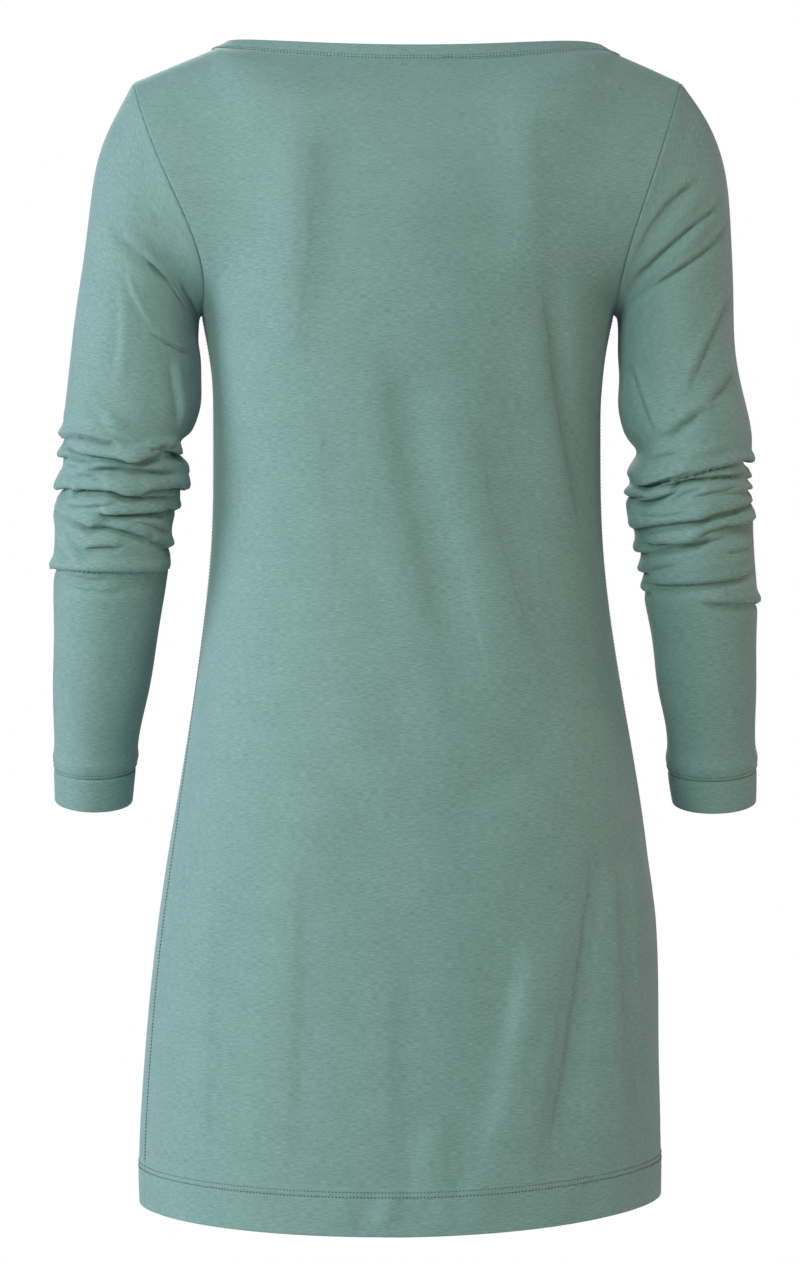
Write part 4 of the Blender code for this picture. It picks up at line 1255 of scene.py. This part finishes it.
def shaded_thread_material():
    material = bpy.data.materials.new("thread")
    material.use_nodes = True
    tree = material.node_tree
    shader = tree.nodes["Principled BSDF"]
    place = Pattern(tree).node("ShaderNodeTexCoord", {}, {}, output=3)
    values = {"Vector": place, "Scale": 2600.0, "Detail": 1.0}
    fleck = place.node("ShaderNodeTexNoise", {}, values)
    # The base colour carries the painted shade of the furrow, not the dye of the thread.
    tree.links.new(fleck.between(THREAD_SHADE_DARK, THREAD_SHADE_LIGHT).socket, shader.inputs["Base Color"])
    bump = fleck.node("ShaderNodeBump", {}, {"Strength": 0.5, "Distance": 0.0001, "Height": fleck})
    tree.links.new(bump.socket, shader.inputs["Normal"])
    shader.inputs["Roughness"].default_value = 0.55
    shader.inputs["Sheen Weight"].default_value = 0.1
    return material


thread = shaded_thread_material()
print("lightest thread:", THREAD_SHADE_LIGHT[:3])

# %% [markdown]
# The body is two panels, back and front, sewn at the sides and the shoulders. At the hem about 29 mm of
# cloth is turned up and held by two rows of stitches, so the hem is two layers thick and a small step shows
# above the stitches. Here the outer layer is lifted by that step, pressed in again where the stitches run,
# and the turning lies behind it.

# %% The panels
HEM_INNER_ROWS = (13, 11, 8, 5, 2)
HEM_PROUD = 0.55
HEM_STEP = 34.5
HEM_STEP_WIDTH = 2.0
HEM_FURROWS = ((28.0, 0.35), (31.6, 0.3))
HEM_FURROW_WIDTH = 0.9
print("turned up at the hem:", HEM_ROWS[HEM_INNER_ROWS[0]], "mm")
for face in ("back", "front"):
    points, edges, shoulder_way = panel_seams(face)
    step = HEM_PROUD * smooth_step((HEM_STEP - row_key) / HEM_STEP_WIDTH)
    furrow = sum(deep * np.exp(-(((row_key - key) / HEM_FURROW_WIDTH) ** 2)) for key, deep in HEM_FURROWS)
    normals = grid_normals(points)
    points = points + normals * (step - furrow)[:, None, None]
    form[face] = points
    normals = grid_normals(points)
    neck = (np.abs(across[face]) <= UNDER_NECK_EDGE)[:, None]
    top_way = np.where(neck, unit(points[-2] - points[-1]) + normals[-1] * 0.35, shoulder_way)
    turned = turned_edge(points, normals, HEM_INNER_ROWS)
    extra = len(turned) - len(points)
    edges = [np.concatenate([np.repeat(way[:1], extra, axis=0), way]) for way in edges]
    sheet = add_allowances(turned, edges[0], edges[1], top_way)
    cloth_piece(face + "_panel_cloth", sheet, level_courses(flat_places(sheet), sheet), jersey)

# %% [markdown]
# A set-in sleeve is one piece of cloth, closed by a seam under the arm. Its grid starts and ends at that
# seam, on the hidden side, and its first row meets the armhole, where the groove of both pieces lies. A
# closed ring of cloth would be simpler, but it would have no underarm seam.

# %% The sleeves
for side in ("left", "right"):
    points, normals = form[side], sleeve_normals[side]
    ring_keys, ring_values = armhole_normals(side)
    theirs = unit(at_angles(across[side], ring_keys, ring_values))
    way, alike = seam_way(normals[0], theirs)
    points = sink_seam(points, normals, run_lengths(points, 0), way[None], alike[None])
    points, seam = sink_underarm_seam(points, normals)
    cuff_gap = CUFF_SEAM_ALONG - sleeve_rows[:, None] + np.zeros(points.shape[:2])
    points = sink_seam(points, normals, cuff_gap, normals[-1][None], np.ones((1, 1, 1)))
    form[side] = points
    cap = np.array([points[0] - way * depth for depth in ALLOWANCE[::-1]])
    end = np.array([points[-1] - normals[-1] * depth for depth in ALLOWANCE])
    more = np.concatenate([cap, points, end])
    seam = np.concatenate([seam[:1], seam[:1], seam, seam[-1:], seam[-1:]])
    sheet = add_allowances(more, seam, seam)
    cloth_piece("sleeve_" + side + "_cloth", sheet, flat_places(sheet), jersey)

# %% [markdown]
# Each cuff is a band of doubled jersey, sewn to the end of the sleeve and folded at the wrist. Its upper
# edge dips into the same groove as the end of the sleeve, which bulges just above it. The cuff could be the
# last rows of the sleeve, but it is cut and sewn on its own, and its grid shows that.

# %% The cuffs
CUFF_ROWS = (0.9, 1.8, 3.5, 6.5, 10, 13.5, 17, 20.5, 23, 24.6, 25.8, 26.5, 27.0)
CUFF_INNER_ROWS = (10, 7, 4, 2)
for side in ("left", "right"):
    angle, along = np.meshgrid(across[side], CUFF_END_ALONG - np.array(CUFF_ROWS))
    points = sleeve_point(side, angle, along)[:, ::-1]
    normals = grid_normals(points)
    gap = (CUFF_ROWS[-1] - np.array(CUFF_ROWS))[:, None] + np.zeros(points.shape[:2])
    points = sink_seam(points, normals, gap, normals[-1][None], np.ones((1, 1, 1)))
    points, seam = sink_underarm_seam(points, normals)
    turned = turned_edge(points, grid_normals(points), CUFF_INNER_ROWS)
    extra = len(turned) - len(points)
    seam = np.concatenate([np.repeat(seam[:1], extra, axis=0), seam])
    more = np.concatenate([turned, [turned[-1] - normals[-1] * depth for depth in ALLOWANCE]])
    seam = np.concatenate([seam, seam[-1:], seam[-1:]])
    sheet = add_allowances(more, seam, seam)
    cloth_piece("cuff_" + side + "_cloth", sheet, flat_places(sheet), jersey)


# %% [markdown]
# The wide neck is bound: a narrow strip of jersey is folded over the raw edge and held by two rows of
# stitches. It stands a little proud of the panels and leans in towards the neck. The strip is one ring,
# whose own join lies at the left shoulder. A bevelled curve would be rounder than folded cloth is.

# %% Where the neck band runs
def band_point(turn, share):
    """Points of the neck band. The turn is -90 to 90 over the back and 90 to 270 over the front."""
    turn, share = np.broadcast_arrays(turn, share)
    front = turn > 90
    own = np.where(front, 180 - turn, turn)
    s, c = np.sin(np.radians(own)), np.cos(np.radians(own))
    seam = np.where(front[..., None], neck_seam(own, "front"), neck_seam(own, "back"))
    reach = np.where(front, NECK_REACH["front"], NECK_REACH["back"])
    inward = unit(np.stack([-reach * s, NECK_HALF_WIDTH * c * np.where(front, -1, 1)], axis=-1))
    mid_lean = np.where(front, NECK_BAND_LEAN["front"], NECK_BAND_LEAN["back"])
    lean = np.radians(NECK_BAND_LEAN_AT_SIDE + (mid_lean - NECK_BAND_LEAN_AT_SIDE) * np.abs(c) ** 1.3)
    along = np.stack([inward[..., 0] * np.sin(lean), inward[..., 1] * np.sin(lean), np.cos(lean)], axis=-1)
    return seam + along * (NECK_BAND_WIDTH * share)[..., None]


print("free edge of the neck band, behind:", np.round(band_point(0.0, 1.0)))

# %% [markdown]
# The band's rows run down from its free edge and stand closest where the stitches press it in. Its lower
# part overlaps the panels, so it is lifted clear of them, most at the shoulders, where it bends hardest.

# %% The neck band
BAND_ROWS = (0.9, 1.6, 2.8, 4.5, 6.5, 8.5, 9.8, 10.5, 11.2, 11.9, 12.6, 13.3, 14.0)
BAND_INNER_ROWS = (11, 8, 5, 2)
BAND_FURROWS = ((10.6, 0.2), (12.8, 0.3))
BAND_FURROW_WIDTH = 0.7
turn = np.linspace(-90, 270, 241)[::-1]
share = 1 - np.array(BAND_ROWS) / NECK_BAND_WIDTH
points = band_point(turn[None, :], share[:, None])
normals = grid_normals(points)
middle = np.sum(normals * (points - points.mean(axis=(0, 1))) * (1, 1, 0))
print("band faces out:", middle > 0)
rows = np.array(BAND_ROWS)
furrow = sum(deep * np.exp(-(((rows - key) / BAND_FURROW_WIDTH) ** 2)) for key, deep in BAND_FURROWS)
side = 1 - np.abs(np.cos(np.radians(turn))) ** 1.3
lift = 0.8 + (0.1 + 0.4 * side)[None, :] * smooth_step((rows - 8) / 4)[:, None]
points = points + normals * (lift - furrow[:, None])[..., None]
form["band"] = points
sheet = turned_edge(points, grid_normals(points), BAND_INNER_ROWS)
sheet = np.concatenate([sheet, [sheet[-1] - grid_normals(points)[-1] * depth for depth in (0.8, 1.0)]])
cloth_piece("neck_band_cloth", sheet, flat_places(sheet), jersey)

# %% [markdown]
# A stitch is a small long bead that lies on the cloth. It could be a bump in the material, but a bump casts
# no shadow, and shadows are what make a row of stitches look dotted. There are thousands, so the bead has
# few faces, and its mesh is made once and copied.

# %% One stitch
def row_at(grid, keys, key):
    """The line over a grid at a key that lies between two of its rows."""
    i = int(np.clip(np.searchsorted(keys, key) - 1, 0, len(keys) - 2))
    share = (key - keys[i]) / (keys[i + 1] - keys[i])
    return grid[i] + (grid[i + 1] - grid[i]) * share


def bead_mesh():
    """A bead of two dozen faces, one millimetre each way, which every stitch is a stretched copy of."""
    shape = bmesh.new()
    bmesh.ops.create_uvsphere(shape, u_segments=6, v_segments=4, radius=0.5 * MM)
    bmesh.ops.recalc_face_normals(shape, faces=shape.faces)
    data = bpy.data.meshes.new("bead")
    shape.to_mesh(data)
    shape.free()
    return data


bead = bead_mesh()
print("faces of a stitch:", len(bead.polygons))

# %% [markdown]
# Two needles sew the hem and the neck, so their stitches run in pairs of rows, and each cuff has one row.
# All the stitches of a seam are one piece, because a piece for each would be thousands of objects.

# %% Rows of stitches
STITCH_PITCH = 2.55


def stitch_line(shape, line, normals, size):
    """Adds a copy of the bead for each stitch along a line. The size is length, width and height."""
    run = run_lengths(line, 0)
    count = max(1, round(run[-1] / STITCH_PITCH))
    at = (np.arange(count) + 0.5) * run[-1] / count
    middles, ways, outs = (
        np.stack([np.interp(at, run, values[:, k]) for k in range(3)], axis=-1)
        for values in (line, unit(np.gradient(line, axis=0)), normals)
    )
    stretch = Matrix.Diagonal((*size, 1))
    for middle, way, out in zip(middles, unit(ways), unit(outs)):
        side = unit(np.cross(out, way))
        turned = Matrix((way, side, np.cross(way, side))).transposed().to_4x4()
        stitch = bead.copy()
        stitch.transform(Matrix.Translation(Vector(middle * MM)) @ turned @ stretch)
        shape.from_mesh(stitch)
        bpy.data.meshes.remove(stitch)
    return count


def stitched(name, rows):
    """One piece that holds all the stitches of a seam. Each row is a line, its normals and a size."""
    shape = bmesh.new()
    count = sum(stitch_line(shape, *row) for row in rows)
    data = bpy.data.meshes.new(name)
    shape.to_mesh(data)
    shape.free()
    data.shade_smooth()
    obj = bpy.data.objects.new(name, data)
    bpy.context.scene.collection.objects.link(obj)
    data.materials.append(thread)
    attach(obj, "root")
    print(name, count, "stitches")


# %% [markdown]
# The two rows of a twin needle aren't alike: one pulls harder and shows bolder. Each row is a line that is
# read from the grid of its piece, so it follows every fold. Stitches placed by hand would drift off the
# furrows.

# %% Sew the hem
FINE_STITCH = (1.2, 0.75, 0.9)
BOLD_STITCH = (1.4, 1.0, 1.0)


def sewn_row(grid, keys, key, size):
    """A row of stitches along one key of a grid: its line, its normals and the size of a stitch."""
    return row_at(grid, keys, key), row_at(grid_normals(grid), keys, key), size


HEM_STITCHES = ((31.6, FINE_STITCH), (28.0, BOLD_STITCH))
for face in ("back", "front"):
    stitched("hem_stitches_" + face, [sewn_row(form[face], row_key, *stitch) for stitch in HEM_STITCHES])

# %% [markdown]
# Down the side seams the threads show as dots in the groove. The groove is too narrow for a stitch to be
# seen at its bottom, so each one sits at its mouth, as a thread does that bridges both pieces.

# %% Sew the sides
SIDE_STITCH = (1.3, 0.9, 1.3)
ABOVE_HEM = 34
span = slice(int(np.argmax(row_key > ABOVE_HEM)), armpit_row)
for side, column in (("left", 0), ("right", -1)):
    seam = form["back"][span, column]
    out = unit(edge_normals("back", side)[span] + edge_normals("front", side)[span])
    stitched("side_stitches_" + side, [(seam + out * SEAM_DEPTH, out, SIDE_STITCH)])

# %% [markdown]
# A cuff is sewn on from inside, and its allowance is held up by one fine row just above the seam.

# %% Sew the cuffs
CUFF_STITCHES_ABOVE_SEAM = 3.0
for side in ("left", "right"):
    key = CUFF_SEAM_ALONG - CUFF_STITCHES_ABOVE_SEAM
    stitched("cuff_stitches_" + side, [sewn_row(form[side], sleeve_rows, key, FINE_STITCH)])

# %% [markdown]
# The neck is sewn round in one go, and the stitching runs on past its own start so that it can't open. That
# short doubled stretch lies behind, a little to the right of the middle.

# %% Sew the neck
OVERLAP_X = (27, 40)
BAND_STITCHES = ((10.6, FINE_STITCH), (12.8, BOLD_STITCH))
rows = [sewn_row(form["band"], BAND_ROWS, *stitch) for stitch in BAND_STITCHES]
line, out, size = sewn_row(form["band"], BAND_ROWS, 12.2, BOLD_STITCH)
overlap = (line[:, 0] > OVERLAP_X[0]) & (line[:, 0] < OVERLAP_X[1]) & (line[:, 1] < 0)
rows.append((line[overlap], out[overlap], size))
stitched("neck_stitches", rows)

# %% [markdown]
# Each sheet of cloth stands in for its solid, and the loop below hides that solid. The table gives the size
# to which its cloth was cut, without the seam allowances. The widths and lengths were measured along the
# modelled cloth. Panels and sleeves are shaped, so they have an area too. The table also lists the pieces
# that carry each sheet and the stitches sewn through it, but the loop doesn't use these.


BACK_STITCHES = ("hem_stitches_back", "side_stitches_left", "side_stitches_right")
BOTH_PANELS = ("back_panel_cloth", "front_panel_cloth")
SHEETS = (
    ("back_panel", (0.525, 0.92), 0.40, (), BACK_STITCHES),
    ("front_panel", (0.525, 0.90), 0.40, (), ("hem_stitches_front",)),
    ("sleeve_left", (0.33, 0.57), 0.145, (), ("cuff_stitches_left",)),
    ("sleeve_right", (0.33, 0.57), 0.145, (), ("cuff_stitches_right",)),
    ("cuff_left", (0.2, 0.055), None, ("sleeve_left_cloth",), ()),
    ("cuff_right", (0.2, 0.055), None, ("sleeve_right_cloth",), ()),
    ("neck_band", (0.72, 0.028), None, BOTH_PANELS, ("neck_stitches",)),
)
for node, flat, area, carried_by, sewn in SHEETS:
    name = node + "_cloth"
    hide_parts(node)

# %% [markdown]
# The photograph is taken with a long lens, level with the middle of the dress. The lens and the distance
# are set together, so that a millimetre of the dress has the size that it has in the picture. An
# orthographic camera would be close, but it would lose the slight turn of the sides.

# %% Camera
DISTANCE = 3.1
PICTURE_HEIGHT = 0.9417
FILM_HEIGHT = 36
camera = bpy.data.objects.new("camera", bpy.data.cameras.new("camera"))
bpy.context.scene.collection.objects.link(camera)
camera.data.sensor_fit = "VERTICAL"
camera.data.sensor_height = FILM_HEIGHT
camera.data.lens = FILM_HEIGHT * DISTANCE / PICTURE_HEIGHT
camera.location = (-0.0022, -DISTANCE, -0.437)
camera.rotation_euler = (np.pi / 2, 0, 0)
bpy.context.scene.camera = camera
print("lens:", round(camera.data.lens, 1), "mm")

# %% [markdown]
# Two large soft lamps on the left light the cloth at a low angle, which brings out the folds. One above
# lights the tops of the creases at the elbows. A weak warm one on the right fills the shade, a small one
# behind it gives that edge its thin light rim, and one in front of the dress lights the side that the
# camera doesn't see. A picture of a studio round the dress would light it too, but lamps can be changed one
# at a time.

# %% Lights
LIGHTS = (
    ("key", (-3.0, -0.6, 0.2), 1.3, 82, (0.85, 0.84, 1.0)),
    ("left", (-1.8, -2.8, 0.6), 1.3, 58, (0.86, 1.0, 0.84)),
    ("above", (0.0, -2.2, 2.2), 1.3, 44, (1.0, 0.92, 0.98)),
    ("right", (2.6, -1.7, 0.2), 1.3, 21.5, (1.0, 0.74, 0.49)),
    ("rim", (2.4, 0.9, 0.2), 0.9, 11.5, (1.0, 0.74, 0.78)),
    ("front", (-0.7, 2.9, 1.2), 1.3, 55, (0.95, 1.0, 0.98)),
)
LIGHT_AIM = Vector((0, 0, -0.4))
for name, place, size, power, colour in LIGHTS:
    light = bpy.data.lights.new(name, "AREA")
    light.shape = "DISK"
    light.size = size
    light.energy = power
    light.color = colour
    obj = bpy.data.objects.new(name, light)
    obj.location = place
    obj.rotation_euler = (LIGHT_AIM - Vector(place)).to_track_quat("-Z", "Y").to_euler()
    bpy.context.scene.collection.objects.link(obj)
    print(name, "lamp:", power, "W")

# %% [markdown]
# The background of the picture is white, but white light from all round would wash out the folds. So the
# world is white where the camera looks straight at it and only a faint light on the cloth.

# %% The white studio
WORLD_LIGHT = 0.11
world = bpy.data.worlds.new("studio")
bpy.context.scene.world = world
world.use_nodes = True
tree = world.node_tree
seen = Pattern(tree).node("ShaderNodeLightPath", {}, {})
tree.links.new((WORLD_LIGHT + seen * (1 - WORLD_LIGHT)).socket, tree.nodes["Background"].inputs["Strength"])
tree.nodes["Background"].inputs["Color"].default_value = (1, 1, 1, 1)
bpy.context.scene.view_settings.view_transform = "Standard"
print("world light on the cloth:", WORLD_LIGHT)

# %% [markdown]
# The floor is out of the camera's own picture and shows only in other views. It is a pale painted disc well
# below the dress, with a faint unevenness, so it stays in the background. A backdrop that curves up behind
# the dress could turn grey there, where the picture is white.

# %% Floor
FLOOR_RADIUS = 2.3
FLOOR_HEIGHT = -1.35
shape = bmesh.new()
bmesh.ops.create_circle(shape, cap_ends=True, segments=96, radius=FLOOR_RADIUS)
bmesh.ops.translate(shape, vec=(0, 0, FLOOR_HEIGHT), verts=shape.verts)
data = bpy.data.meshes.new("floor")
shape.to_mesh(data)
shape.free()
floor = bpy.data.objects.new("floor", data)
bpy.context.scene.collection.objects.link(floor)
paint = bpy.data.materials.new("floor_paint")
paint.use_nodes = True
place = Pattern(paint.node_tree).node("ShaderNodeTexCoord", {}, {}, output=3)
uneven = place.node("ShaderNodeTexNoise", {}, {"Vector": place, "Scale": 3.0, "Detail": 4.0})
shader = paint.node_tree.nodes["Principled BSDF"]
pale = uneven.between((0.78, 0.78, 0.78, 1), (0.83, 0.83, 0.83, 1))
paint.node_tree.links.new(pale.socket, shader.inputs["Base Color"])
shader.inputs["Roughness"].default_value = 0.9
data.materials.append(paint)
print("floor:", FLOOR_HEIGHT, "m")
